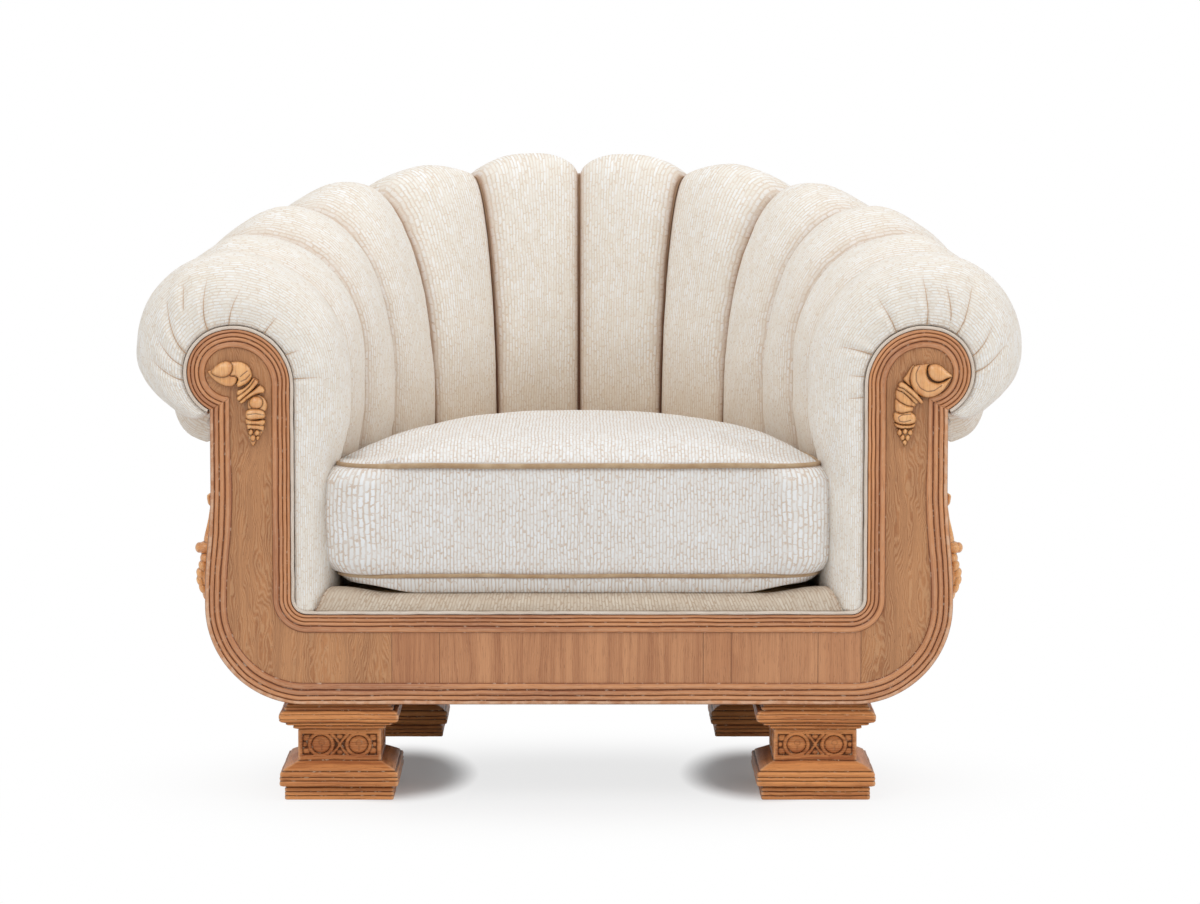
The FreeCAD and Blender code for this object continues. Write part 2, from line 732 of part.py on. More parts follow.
def tub_plan(offset, z, front_y):
    """Flat outline that follows the tub at an offset from the seam line, closed across the front."""
    edges = []
    for k in range(-CHANNELS_PER_SIDE, CHANNELS_PER_SIDE):
        edges.append(arc_through(place(k, offset, z), place(k + 0.5, offset, z), place(k + 1, offset, z)))
    left, right = place(-CHANNELS_PER_SIDE, offset, z), place(CHANNELS_PER_SIDE, offset, z)
    corner_left, corner_right = Vector(left.x, front_y, z), Vector(right.x, front_y, z)
    if front_y > left.y:
        cut_face = Part.Face(closed(edges + [line(left, right)]))
        keep_box = Part.makeBox(4 * v.tub_half, 2 * v.tub_depth, v.board_depth,
                                Vector(-2 * v.tub_half, front_y, z - v.board_depth / 2))
        return cut_face.common(keep_box).Faces[0]
    edges += [line(left, corner_left), line(corner_left, corner_right), line(corner_right, right)]
    return Part.Face(closed(edges))


def tub_parts():
    pad_end = CHANNELS_PER_SIDE - 1
    linings = []
    rails = {}
    for side, name in ((-1, "left"), (1, "right")):
        rails[side] = tub_loft(spread(side * half_gap, side * RAIL_END), top_rail_outline)
        keep(rails[side], "top_rail_" + name)
        linings.append(tub_loft(spread(side * half_gap, side * pad_end), lining_outline))
        stations = spread(side * half_gap, side * pad_end, 4 * LOFT_STATIONS)
        keep(tub_loft(stations, core_outline, True), "roll_core_" + name)
        stations = spread(side * (BACK_COVER_END + half_gap), side * ARM_COVER_END)
        keep(tub_loft(stations, panel_outline), "outside_arm_" + name)
    stations = spread(half_gap - BACK_COVER_END, BACK_COVER_END - half_gap)
    keep(tub_loft(stations, panel_outline), "outside_back")
    keep(Part.makeCompound(linings), "tub_lining")
    stays = []
    for station in (-BACK_STAY, BACK_STAY, -SIDE_STAY, SIDE_STAY):
        foot = v.frame_high + 2 * v.strap_depth + v.joint_gap
        height = sum(rail_levels(station)) / 2 - foot
        point, way = seam_place(station)
        corner = Vector(-v.stay_width / 2, -v.stay_depth / 2, foot)
        stay = Part.makeBox(v.stay_width, v.stay_depth, height, corner)
        stay.rotate(Vector(0, 0, 0), Vector(0, 0, 1), -math.degrees(math.atan2(way[0], way[1])))
        stay.translate(place(station, rail_centre(station) - v.stay_setback, 0.0))
        stays.append(stay.cut(rails[math.copysign(1, station)]).Solids[0])
    keep(Part.makeCompound(stays), "stays")


def frame_welt():
    inset = -v.welt_radius - v.joint_gap
    y = v.reeding_depth - v.welt_radius
    left = inner_half_chain(-1, inset, inset, y)
    right = inner_half_chain(1, inset, inset, y)
    path = closed(left + right)
    first = path.OrderedEdges[0]
    at = first.valueAt(first.FirstParameter)
    way = first.tangentAt(first.FirstParameter)
    ring = Part.Wire([Part.makeCircle(v.welt_radius, at, way)])
    keep(path.makePipeShell([ring], True, False), "frame_welt")


def hull_section(x_face, rounding, y, side):
    """Closed outline of the wooden band across a side, seen along Y."""
    centre_z = v.rail_bottom + rounding
    centre_x = x_face - rounding
    inner = rounding - v.hull_depth

    def point(radius, angle):
        a = math.radians(angle)
        return Vector(side * (centre_x + radius * math.cos(a)), y, centre_z - radius * math.sin(a))

    top_out = Vector(side * x_face, y, v.hull_top)
    top_in = Vector(side * (x_face - v.hull_depth), y, v.hull_top)
    return Part.Wire([line(top_out, point(rounding, 0)), arc_through(point(rounding, 0), point(rounding, 45),
                     point(rounding, 90)), line(point(rounding, 90), point(inner, 90)),
                     arc_through(point(inner, 90), point(inner, 45), point(inner, 0)),
                     line(point(inner, 0), top_in), line(top_in, top_out)])


def band():
    """Wooden band round the sides and the back."""
    x_face = v.outer_half + v.hull_bulge - v.joint_gap
    start = v.reeding_depth + v.board_depth + v.joint_gap
    turn = v.hull_back - v.hull_corner
    for side, name in ((-1, "left"), (1, "right")):
        front_wire = hull_section(x_face, v.corner_radius - v.joint_gap, start, side)
        rear_wire = hull_section(x_face, v.hull_rounding, turn, side)
        straight = Part.makeLoft([front_wire, rear_wire], True, True)
        axis = Vector(side * (x_face - v.hull_corner), turn, 0)
        bend = Part.Face(rear_wire).revolve(axis, Vector(0, 0, 1), side * (90 - v.joint_gap / 2))
        keep(straight.fuse(bend).removeSplitter(), "side_band_" + name)
    back_half = x_face - v.hull_corner - v.joint_gap
    rear = hull_section(x_face, v.hull_rounding, turn, 1)
    turned = rear.copy()
    turned.rotate(Vector(x_face - v.hull_corner, turn, 0), Vector(0, 0, 1), 90)
    shift = Vector(back_half - (x_face - v.hull_corner), 0, 0)
    turned.translate(shift)
    keep(Part.Face(turned).extrude(Vector(-2 * back_half, 0, 0)), "back_band")
    outline = frame_face(0.0, 0.0, start).extrude(Vector(0, v.stile_depth, 0))
    for side, name in ((-1, "left"), (1, "right")):
        low = v.hull_top + v.joint_gap
        high = section(CHANNELS_PER_SIDE - 1, (2, 1.0), 0.0)[1] - v.crown_tuck - v.cloth_gap
        x_low = min(side * (v.outer_half - v.stile_width), side * (v.outer_half + v.stile_width))
        region = Part.makeBox(2 * v.stile_width, v.stile_depth, high - low, Vector(x_low, start, low))
        keep(outline.common(region).Solids[0], "side_stile_" + name)


def bound_box(label, length, width, height, x, y, z):
    """A box whose sizes and place are all bound to the sheet."""
    box = doc.addObject("Part::Box", label)
    box.Label = label
    bind(box, Length=cells(length), Width=cells(width), Height=cells(height), x=cells(x),
         y=cells(y), z=cells(z))
    parts.append(box)
    return box


def seat_frame():
    tall = "frame_high - frame_low"
    start = "reeding_depth + board_depth + joint_gap"
    rear = "frame_rear - rail_width"
    bound_box("seat_rail_front", "2 * ( frame_half - rail_width - joint_gap )", "rail_width", tall,
              "rail_width + joint_gap - frame_half", start, "frame_low")
    bound_box("seat_rail_back", "2 * ( frame_half - rail_width - joint_gap )", "rail_width", tall,
              "rail_width + joint_gap - frame_half", rear, "frame_low")
    length = "side_rail_end - reeding_depth - board_depth - joint_gap"
    bound_box("seat_rail_left", "rail_width", length, tall, "-1 * frame_half", start, "frame_low")
    bound_box("seat_rail_right", "rail_width", length, tall, "frame_half - rail_width", start, "frame_low")
    high = "crest_arm - top_rail_drop - top_rail_depth - post_foot - cloth_gap"
    bound_box("arm_post_left", "post_width", "post_width", high, "-1 * post_side - post_width / 2", start,
              "post_foot")
    bound_box("arm_post_right", "post_width", "post_width", high, "post_side - post_width / 2", start,
              "post_foot")
    bound_box("dust_cover", "2 * ( frame_half - rail_width - joint_gap )",
              "frame_rear - 2 * rail_width - reeding_depth - board_depth - 3 * joint_gap", "burlap_depth",
              "rail_width + joint_gap - frame_half", start + " + rail_width + joint_gap", "frame_low")


def foot_places():
    """Plan centres and depths of the four feet, with the name of each."""
    deep_front = v.foot_cap + v.front_extra
    deep_rear = v.foot_cap + v.rear_extra
    return [
        ("front_left", -v.foot_side, v.foot_front + deep_front / 2, v.front_extra),
        ("front_right", v.foot_side, v.foot_front + deep_front / 2, v.front_extra),
        ("rear_left", -v.rear_side, v.rear_front + deep_rear / 2, v.rear_extra),
        ("rear_right", v.rear_side, v.rear_front + deep_rear / 2, v.rear_extra),
    ]


def frustum(x, y, low, high):
    """A four-sided block between two levels, each given as (height, width, depth)."""
    wires = []
    for z, width, depth in (low, high):
        corners = [Vector(x + a * width / 2, y + b * depth / 2, z)
                   for a, b in ((-1, -1), (1, -1), (1, 1), (-1, 1))]
        wires.append(Part.makePolygon(corners + corners[:1]))
    return Part.makeLoft(wires, True, True)


def feet():
    sole = v.glide_depth - v.glide_recess
    step = (v.foot_base - v.foot_plinth) / 2
    tiers = [
        ((sole, v.foot_plinth), (v.plinth_top, v.foot_plinth)),
        ((v.plinth_top, v.foot_base), (v.base_top, v.foot_base)),
        ((v.base_top, v.foot_base - step), (v.neck_foot, v.foot_neck)),
        ((v.neck_foot, v.foot_neck), (v.neck_top, v.foot_neck)),
        ((v.neck_top, v.foot_neck + step), (v.cap_waist, v.foot_cap - step)),
        ((v.cap_waist, v.foot_cap), (v.cap_top, v.foot_cap)),
        ((v.cap_top, v.foot_cap - step), (v.rail_bottom, v.foot_cap - 2 * step)),
    ]
    hole_depth = v.bolt_reach + v.bolt_clearance
    foot_blocks = []
    for name, x, y, extra in foot_places():
        blocks = [frustum(x, y, (low[0], low[1], low[1] + extra), (high[0], high[1], high[1] + extra))
                  for low, high in tiers]
        foot = blocks[0].multiFuse(blocks[1:]).removeSplitter()
        hole = Part.makeCylinder(v.bolt_radius + v.bolt_clearance, 2 * hole_depth,
                                 Vector(x, y, v.rail_bottom - hole_depth))
        foot = foot.cut(hole)
        for glide_x, glide_y in glide_places(x, y):
            foot = foot.cut(Part.makeCylinder(v.glide_radius, v.glide_depth, Vector(glide_x, glide_y, 0)))
        keep(foot.Solids[0], "foot_" + name)
        side = 1 if x > 0 else -1
        block_y = y - v.block_length / 2
        block_x = x - side * 2 * step
        block = Part.makeBox(v.block_width, v.block_length, v.frame_low - v.rail_bottom,
                             Vector(block_x - v.block_width / 2, block_y, v.rail_bottom))
        start = v.reeding_depth + v.board_depth + v.joint_gap
        if block_y < start:
            keep_box = Part.makeBox(v.block_width, v.block_length, v.frame_low,
                                    Vector(block_x - v.block_width / 2, start, 0))
            block = block.common(keep_box)
        foot_blocks.append(block.cut(hole).Solids[0])
    keep(Part.makeCompound(foot_blocks), "foot_blocks")


def glide_places(x, y):
    reach = v.glide_reach
    return [(x + a * reach, y + b * reach) for a in (-1, 1) for b in (-1, 1)]


def small_metal():
    bolts = []
    glides = []
    for name, x, y, extra in foot_places():
        foot = Vector(x, y, v.rail_bottom - v.bolt_reach)
        bolts.append(Part.makeCylinder(v.bolt_radius, 2 * v.bolt_reach, foot))
        for glide_x, glide_y in glide_places(x, y):
            glides.append(Part.makeCylinder(v.glide_radius, v.glide_depth, Vector(glide_x, glide_y, 0)))
    keep(Part.makeCompound(bolts), "hanger_bolts")
    keep(Part.makeCompound(glides), "glides")


STRAPS_LENGTHWISE = 6
STRAPS_CROSSWISE = 6


# Highest bulge of the deck's front lip, as shares of its depth and height.
lip_shares = (0.35, 0.8)


def deck():
    start = v.reeding_depth + v.board_depth + v.joint_gap
    straps = []
    for i in range(STRAPS_LENGTHWISE):
        x = (i - (STRAPS_LENGTHWISE - 1) / 2) * 2 * (v.frame_half - v.rail_width) / STRAPS_LENGTHWISE
        straps.append(Part.makeBox(v.strap_width, v.frame_rear - start, v.strap_depth,
                                   Vector(x - v.strap_width / 2, start, v.frame_high)))
    gap = (v.side_rail_end - start - STRAPS_CROSSWISE * v.strap_width) / STRAPS_CROSSWISE
    for i in range(STRAPS_CROSSWISE):
        y = start + gap / 2 + i * (gap + v.strap_width)
        straps.append(Part.makeBox(2 * v.frame_half, v.strap_width, v.strap_depth,
                                   Vector(-v.frame_half, y, v.frame_high + v.strap_depth)))
    keep(Part.makeCompound(straps), "webbing")
    low = v.frame_high + 2 * v.strap_depth
    keep(tub_plan(v.pad_depth, low, start).extrude(Vector(0, 0, v.burlap_depth)), "burlap")
    low += v.burlap_depth
    top = v.channel_foot - v.cloth_gap
    keep(tub_plan(v.pad_depth, low, start).extrude(Vector(0, 0, top - low)), "deck_pad")
    inset = -(v.crown_low + v.cloth_gap + 1.5 * v.lining_depth)
    keep(tub_plan(inset, top, start).extrude(Vector(0, 0, v.deck_top - top)), "deck_cover")
    half = v.inner_half - v.inner_corner - v.pad_depth + 2 * v.welt_radius
    lip_low = v.rail_top + 2 * v.welt_radius + v.joint_gap
    back = start - v.cloth_gap
    nose = v.reeding_depth + v.cloth_gap
    corners = [Vector(-half, back, lip_low), Vector(-half, nose, lip_low), Vector(-half, back, v.deck_top)]
    bulge_y = nose + (back - nose) * lip_shares[0]
    bulge = Vector(-half, bulge_y, lip_low + (v.deck_top - lip_low) * lip_shares[1])
    face = Part.Face(closed([line(corners[0], corners[1]), arc_through(corners[1], bulge, corners[2]),
                             line(corners[2], corners[0])]))
    keep(face.extrude(Vector(2 * half, 0, 0)), "deck_lip")


def cushion_outline(share, z, offset=0.0):
    """Closed plan outline made of tangent arcs, shrunk about its middle by a share."""
    a = v.cushion_half + offset
    small = v.cushion_rounding + offset
    corner = v.cushion_corner + offset
    y0 = v.cushion_front + v.cushion_corner
    b = v.cushion_rear + offset - y0
    big = (a * a + b * b - 2 * b * small) / (2 * (a - small))
    centre_y = y0 + b - small
    turn = math.atan2(centre_y - y0, big - a)
    middle = (v.cushion_front + v.cushion_rear) / 2

    def point(x, y):
        return Vector(x * share, middle + (y - middle) * share, z)

    def side_point(side, angle):
        return point(side * (a - big + big * math.cos(angle)), y0 + big * math.sin(angle))

    def corner_point(side, angle):
        return point(side * (a - corner + corner * math.cos(angle)), y0 - corner * math.sin(angle))

    def corner_arc(side):
        turns = [math.pi / 2, math.pi / 4, 0.0]
        return arc_through(*[corner_point(side, angle) for angle in turns[::side]])

    edges = [line(corner_point(-1, math.pi / 2), corner_point(1, math.pi / 2))]
    edges.append(corner_arc(1))
    edges.append(arc_through(side_point(1, 0), side_point(1, turn / 2), side_point(1, turn)))
    edges.append(arc_through(side_point(1, turn), point(0, y0 + b), side_point(-1, turn)))
    edges.append(arc_through(side_point(-1, turn), side_point(-1, turn / 2), side_point(-1, 0)))
    edges.append(corner_arc(-1))
    return Part.Wire(edges)


# The cushion's plan size at its seams, and how its foot and its dome draw in: up, size.
seam_share = 0.985
foot_shares = ((0.45, 0.955), (0.0, 0.86))
dome_shares = ((0.42, 0.935), (0.74, 0.82), (0.93, 0.64), (1.0, 0.42))


def cushion():
    """Seat cushion: a flat foot, a boxing that swells between the pipings, and a crowned top."""
    foot_low = v.deck_top + v.cloth_gap
    foot = [cushion_outline(seam_share, v.lower_seam)]
    for up, share in foot_shares:
        foot.append(cushion_outline(share, foot_low + (v.lower_seam - foot_low) * up))
    middle = (v.lower_seam + v.upper_seam) / 2
    boxing = [cushion_outline(seam_share, v.lower_seam), cushion_outline(1.0, middle),
              cushion_outline(seam_share, v.upper_seam)]
    dome = [cushion_outline(seam_share, v.upper_seam)]
    for up, share in dome_shares:
        dome.append(cushion_outline(share, v.upper_seam + (v.dome_top - v.upper_seam) * up))
    solids = [Part.makeLoft(wires, True, False) for wires in (foot, boxing, dome)]
    keep(solids[0].multiFuse(solids[1:]), "seat_cushion")
    for label, z, radius in (("cushion_piping_upper", v.upper_seam, v.upper_piping),
                             ("cushion_piping_lower", v.lower_seam, v.lower_piping)):
        path = cushion_outline(seam_share, z, radius + v.cloth_gap)
        first = path.OrderedEdges[0]
        at, way = first.valueAt(first.FirstParameter), first.tangentAt(first.FirstParameter)
        ring = Part.Wire([Part.makeCircle(radius, at, way)])
        keep(path.makePipeShell([ring], True, False), label)


def ellipsoid(centre, half_sizes, tilt=0.0):
    """An egg-shaped solid; the tilt turns it about Y, in degrees."""
    ball = Part.makeSphere(1.0)
    matrix = FreeCAD.Matrix()
    matrix.scale(*half_sizes)
    shape = ball.transformGeometry(matrix)
    shape.rotate(Vector(0, 0, 0), Vector(0, 1, 0), tilt)
    shape.translate(centre)
    return shape


# Places and half sizes as shares of the scroll radius, from the large centre: out, up, wide, tall, tilt.
scroll_shares = (
    (0.19, 0.38, 0.22, 0.15, 0.0), (-0.12, 0.27, 0.19, 0.22, 0.0), (-0.27, 0.03, 0.24, 0.12, 35.0),
    (-0.38, -0.17, 0.21, 0.24, 0.0), (-0.38, -0.46, 0.18, 0.19, 0.0), (-0.38, -0.70, 0.14, 0.16, 0.0),
    (-0.38, -0.88, 0.08, 0.12, 0.0),
)
# Heights and half sizes as shares of the side carving's height, from its foot: up, out, tall.
side_shares = (
    (0.07, 0.045, 0.075), (0.20, 0.075, 0.10), (0.35, 0.085, 0.11), (0.505, 0.115, 0.085),
    (0.64, 0.07, 0.09), (0.76, 0.055, 0.08), (0.885, 0.06, 0.115),
)
side_depth_share = 1.4


def carvings():
    for side, name in ((-1, "left"), (1, "right")):
        large, small = scroll_centres(side)
        radius = v.scroll_radius
        ground = v.reeding_depth - v.veneer_depth - v.carving_gap
        eggs = []
        for out, up, wide, tall, tilt in scroll_shares:
            centre = Vector(large[0] + side * out * radius, ground, large[1] + up * radius)
            half_sizes = (wide * radius, v.carving_depth + ground, tall * radius)
            eggs.append(ellipsoid(centre, half_sizes, side * tilt))
        whole = eggs[0].multiFuse(eggs[1:])
        depth = 2 * (v.carving_depth + v.reeding_depth)
        region = Part.makeBox(4 * radius, depth, 4 * radius,
                              Vector(large[0] - 2 * radius, ground - depth, large[1] - 2 * radius))
        keep(max(whole.common(region).Solids, key=lambda solid: solid.Volume), "scroll_carving_" + name)
        start = v.reeding_depth + v.board_depth + v.joint_gap
        clear = v.hull_clearance
        outline = frame_face(-clear, -clear, start - v.stile_depth)
        body = outline.extrude(Vector(0, 3 * v.stile_depth, 0))
        height = v.side_carving_top - v.side_carving_foot
        eggs = []
        for up, out, tall in side_shares:
            z = v.side_carving_foot + up * height
            lean = v.hull_bulge * smooth((v.waist_height - z) / (v.waist_height - v.side_carving_foot))
            centre = Vector(side * (v.outer_half + lean), start + v.stile_depth / 2, z)
            eggs.append(ellipsoid(centre, (out * height, side_depth_share * out * height, tall * height)))
        whole = eggs[0].multiFuse(eggs[1:]).cut(body)
        keep(max(whole.Solids, key=lambda solid: solid.Volume), "side_carving_" + name)


front_frame()
channels()
tub_parts()
frame_welt()
band()
seat_frame()
feet()
small_metal()
deck()
cushion()
carvings()
doc.recompute()


def centre_on_origin():
    """Moves every piece along Y, so that the footprint box is centred on the origin."""
    whole = Part.makeCompound([piece.Shape for piece in parts]).optimalBoundingBox(False)
    shift = -(whole.YMin + whole.YMax) / 2
    for piece in parts:
        if piece.TypeId == "Part::Feature":
            moved = FreeCAD.Placement(Vector(0, shift, 0), FreeCAD.Rotation())
            piece.Placement = moved.multiply(piece.Placement)
        else:
            bound = [text for path, text in piece.ExpressionEngine if path == ".Placement.Base.y"]
            piece.setExpression(".Placement.Base.y", "%s - %.6f" % (bound[0], -shift))
    doc.recompute()


centre_on_origin()

for piece in doc.Objects:
    if "Invalid" in piece.State or "Error" in piece.State:
        raise RuntimeError("%s did not recompute: %s" % (piece.Label, piece.State))
for piece in parts:
    if piece.Shape.isNull() or not piece.Shape.isValid():
        raise RuntimeError("%s has no valid shape" % piece.Label)

os.makedirs("parts", exist_ok=True)
for piece in parts:
    box = piece.Shape.optimalBoundingBox(False)
    low = "%.1f %.1f %.1f" % (box.XMin, box.YMin, box.ZMin)
    high = "%.1f %.1f %.1f" % (box.XMax, box.YMax, box.ZMax)
    print("%s: %d solids from %s to %s" % (piece.Label, len(piece.Shape.Solids), low, high))
    piece.Shape.exportStep("parts/%s.step" % piece.Label)
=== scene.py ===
import math

import bmesh
import bpy
import numpy as np
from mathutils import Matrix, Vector


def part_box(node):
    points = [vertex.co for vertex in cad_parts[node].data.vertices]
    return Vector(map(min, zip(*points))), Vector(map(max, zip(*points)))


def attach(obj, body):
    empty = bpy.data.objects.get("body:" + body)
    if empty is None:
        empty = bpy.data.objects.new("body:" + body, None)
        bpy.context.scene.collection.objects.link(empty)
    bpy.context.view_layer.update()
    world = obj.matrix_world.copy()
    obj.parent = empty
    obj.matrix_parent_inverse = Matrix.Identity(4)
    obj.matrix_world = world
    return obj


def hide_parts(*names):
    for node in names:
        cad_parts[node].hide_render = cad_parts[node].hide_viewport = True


# Channel back armchair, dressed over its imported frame. Shapes are worked out in millimetres with
# y = 0 at the front face of the wooden frame, X to the right, Y to the back and Z up.

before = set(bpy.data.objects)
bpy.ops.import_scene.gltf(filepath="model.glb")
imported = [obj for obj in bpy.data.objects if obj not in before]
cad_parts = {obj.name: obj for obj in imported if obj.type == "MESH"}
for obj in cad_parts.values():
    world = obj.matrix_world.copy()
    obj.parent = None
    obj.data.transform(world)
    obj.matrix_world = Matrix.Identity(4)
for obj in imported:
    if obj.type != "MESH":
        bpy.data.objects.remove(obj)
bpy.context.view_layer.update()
FRONT_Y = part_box("outer_reeding")[0].y
METRE = 0.001

# Sizes of the frame
RAIL_BOTTOM, RAIL_TOP = 123.5, 237.5
INNER_HALF, OUTER_HALF = 361.0, 461.0
HULL_BULGE, CORNER_RADIUS, WAIST = 8.0, 125.0, 400.0
SCROLL_Z, SCROLL_R, LOBE_R, LOBE_LEAN = 526.0, 70.0, 53.0, 17.4
INNER_CORNER = 20.0
INNER_REEDING, OUTER_REEDING = 23.0, 27.5
REEDING_DEPTH, VENEER_DEPTH, BOARD_DEPTH = 5.0, 2.0, 25.0
WELT_R = 2.2
MEET = 90.0 + LOBE_LEAN

# Sizes of the tub
TUB_HALF, TUB_DEPTH = 316.0, 560.0
CREST_BACK, CREST_ARM = 773.0, 656.0
REACH_BACK, REACH_ARM = 66.0, 115.0
SHOULDER_BACK, SHOULDER_ARM = 420.0, 130.0
ROLL_RADIUS, ROLL_TURN = 97.0, 162.0
PAD = 38.0
CHANNEL_FOOT = 250.0
CROWN_LOW, CROWN_TUCK = 9.0, 12.0
CROWN_START, CROWN_FULL = 420.0, 570.0
ARM_CROWN_START, ARM_CROWN_FULL = 405.0, 490.0
SEAM_GAP = 0.6
FACING_GAP = 4.9
# How these sizes change from the middle of the back, station by station, to the arm fronts
FAN = (0.0, 0.31, 0.57, 0.755, 0.88, 0.955, 1.0)
CREST = (0.0, 0.03, 0.14, 0.38, 0.64, 0.88, 1.0)
REACH = (0.0, 0.12, 0.80, 1.10, 1.40, 1.30, 1.0)
SHOULDER = (0.0, 0.07, 0.28, 0.66, 0.93, 0.98, 1.0)
ROLL = (0.91, 1.03, 1.28, 1.13, 1.01, 1.0, 1.0)
ROLL_END = (0.99, 0.95, 0.84, 0.90, 0.98, 1.0, 1.0)
ARM_CROWN = 5.45
ROUND_SHARE = 0.8
BACK_COVER_END, ARM_COVER_END = 1.6, 5.2
COVER_DEPTH, COVER_DROP = 6.0, 17.0
HULL_TOP, HULL_BACK, HULL_CORNER = 290.0, 655.0, 220.0
DECK_TOP = 262.0
SIDES = {-1: "left", 1: "right"}

# Sizes of the cushion
CUSHION_HALF, CUSHION_FRONT, CUSHION_REAR = 299.0, 12.0, 543.0
CUSHION_CORNER, CUSHION_ROUNDING = 45.0, 200.0
LOWER_SEAM, UPPER_SEAM, DOME_TOP = 285.0, 424.0, 457.0


# Meshes

def lattice(cell, seed):
    """Scattered values between -1 and 1 that belong to whole-number cells."""
    n = (cell[..., 0] * 374761393 + cell[..., 1] * 668265263 + cell[..., 2] * 1442695041 + seed * 974711)
    n = n & 0xFFFFFFFF
    n = ((n ^ (n >> 13)) * 1274126177) & 0xFFFFFFFF
    return ((n ^ (n >> 16)) & 0xFFFF) / 32767.5 - 1.0


def rough(points, scale, seed=0):
    """Smooth noise between -1 and 1 at points in millimetres."""
    q = np.asarray(points, float) / scale
    cell = np.floor(q).astype(np.int64)
    f = q - cell
    f = f * f * (3 - 2 * f)
    total = 0.0
    for a in (0, 1):
        for b in (0, 1):
            for c in (0, 1):
                weight = (f[..., 0] if a else 1 - f[..., 0]) * (f[..., 1] if b else 1 - f[..., 1])
                weight = weight * (f[..., 2] if c else 1 - f[..., 2])
                total = total + weight * lattice(cell + np.array([a, b, c]), seed)
    return total


def blend(low, high, share):
    """From low at a share of 0 to high at a share of 1."""
    return low + (high - low) * share


def smooth(share):
    """An S-shaped rise from 0 to 1 over shares from 0 to 1."""
    share = np.clip(share, 0.0, 1.0)
    return share * share * (3 - 2 * share)


def unit(vectors):
    """The vectors at a length of 1."""
    return vectors / np.maximum(np.linalg.norm(vectors, axis=-1, keepdims=True), 1e-9)


def write_marks(mesh, marks):
    """Stores values at the mesh's points under their names, in place of older ones."""
    for key, values in marks.items():
        old = mesh.attributes.get(key)
        if old:
            mesh.attributes.remove(old)
        attribute = mesh.attributes.new(key, "FLOAT", "POINT")
        attribute.data.foreach_set("value", values.astype(np.float32))


def close_up(mesh, merge=0.0):
    """Joins points that lie close together and turns every face outward, all shaded smooth."""
    work = bmesh.new()
    work.from_mesh(mesh)
    if merge:
        bmesh.ops.remove_doubles(work, verts=work.verts, dist=merge * METRE)
        bmesh.ops.dissolve_degenerate(work, edges=work.edges, dist=merge * METRE)
    bmesh.ops.recalc_face_normals(work, faces=work.faces)
    work.to_mesh(mesh)
    work.free()
    shade_smooth(mesh)


def shade_smooth(mesh):
    mesh.polygons.foreach_set("use_smooth", np.ones(len(mesh.polygons), bool))


class Skin:
    """Grids of points that become one mesh, with a flat map in metres and marks at the points."""

    def __init__(self):
        self.points, self.quads, self.maps, self.marks = [], [], [], []
        self.count = 0

    def grid(self, points, across, along, **marks):
        """Adds rows by columns of points; across and along are the flat map in millimetres."""
        points = np.asarray(points, float)
        shape = points.shape[:2]
        size = shape[0] * shape[1]
        index = np.arange(size).reshape(shape)
        quads = np.stack([index[:-1, :-1], index[:-1, 1:], index[1:, 1:], index[1:, :-1]], -1)
        quads = quads.reshape(-1, 4)
        flat = np.stack([np.broadcast_to(across, shape), np.broadcast_to(along, shape)], -1)
        self.points.append(points.reshape(-1, 3))
        self.maps.append(flat.reshape(-1, 2)[quads].reshape(-1, 2) * METRE)
        self.quads.append(quads + self.count)
        self.marks.append((size, {k: np.broadcast_to(m, shape).reshape(-1) for k, m in marks.items()}))
        self.count += size

    def cap(self, ring, across, along, steps=3, **marks):
        """Closes a ring of points by drawing it in to its middle."""
        middle = ring[:-1].mean(0)
        shares = np.linspace(1.0, 0.0, steps)[:, None, None]
        self.grid(middle + (ring[None] - middle) * shares, across, along, **marks)

    def dome(self, ring, way, reach, across, along, **marks):
        """Closes a ring of points with a rounded end that reaches out along a direction."""
        middle = ring[:-1].mean(0)
        turn = np.linspace(0.0, math.pi / 2, 9)[:, None, None]
        rows = middle + (ring[None] - middle) * np.cos(turn) + np.asarray(way) * reach * np.sin(turn)
        self.grid(rows, across, along, **marks)

    def build(self, name, material, map_name="weave", merge=0.004):
        mesh = bpy.data.meshes.new(name)
        points = np.concatenate(self.points) + np.array([0.0, FRONT_Y / METRE, 0.0])
        quads = np.concatenate(self.quads)
        mesh.vertices.add(len(points))
        mesh.vertices.foreach_set("co", (points * METRE).astype(np.float32).ravel())
        mesh.loops.add(len(quads) * 4)
        mesh.loops.foreach_set("vertex_index", quads.ravel().astype(np.int32))
        mesh.polygons.add(len(quads))
        mesh.polygons.foreach_set("loop_start", np.arange(0, len(quads) * 4, 4, dtype=np.int32))
        mesh.update(calc_edges=True)
        layer = mesh.uv_layers.new(name=map_name)
        layer.data.foreach_set("uv", np.concatenate(self.maps).astype(np.float32).ravel())
        keys = sorted({key for size, marks in self.marks for key in marks})
        write_marks(mesh, {key: np.concatenate([marks.get(key, np.zeros(size)) for size, marks in self.marks])
                           for key in keys})
        close_up(mesh, merge)
        return add_object(name, mesh, material)


def add_object(name, mesh, *materials):
    piece = bpy.data.objects.new(name, mesh)
    bpy.context.scene.collection.objects.link(piece)
    for material in materials:
        mesh.materials.append(material)
    return piece


def settle(piece, body, slot, *nodes, fill=None):
    """The piece rides on its body and stands for its nodes; its slot is not used."""
    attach(piece, body)
    if nodes:
        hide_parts(*nodes)
    return piece


def lengths_along(path):
    """How far along a path each of its points lies."""
    steps = np.linalg.norm(np.diff(path, axis=0), axis=1)
    return np.concatenate([[0.0], np.cumsum(steps)])


def resample(path, count):
    """A path with points at even steps."""
    along = lengths_along(path)
    wanted = np.linspace(0.0, along[-1], count)
    return np.stack([np.interp(wanted, along, path[:, i]) for i in range(path.shape[1])], -1)


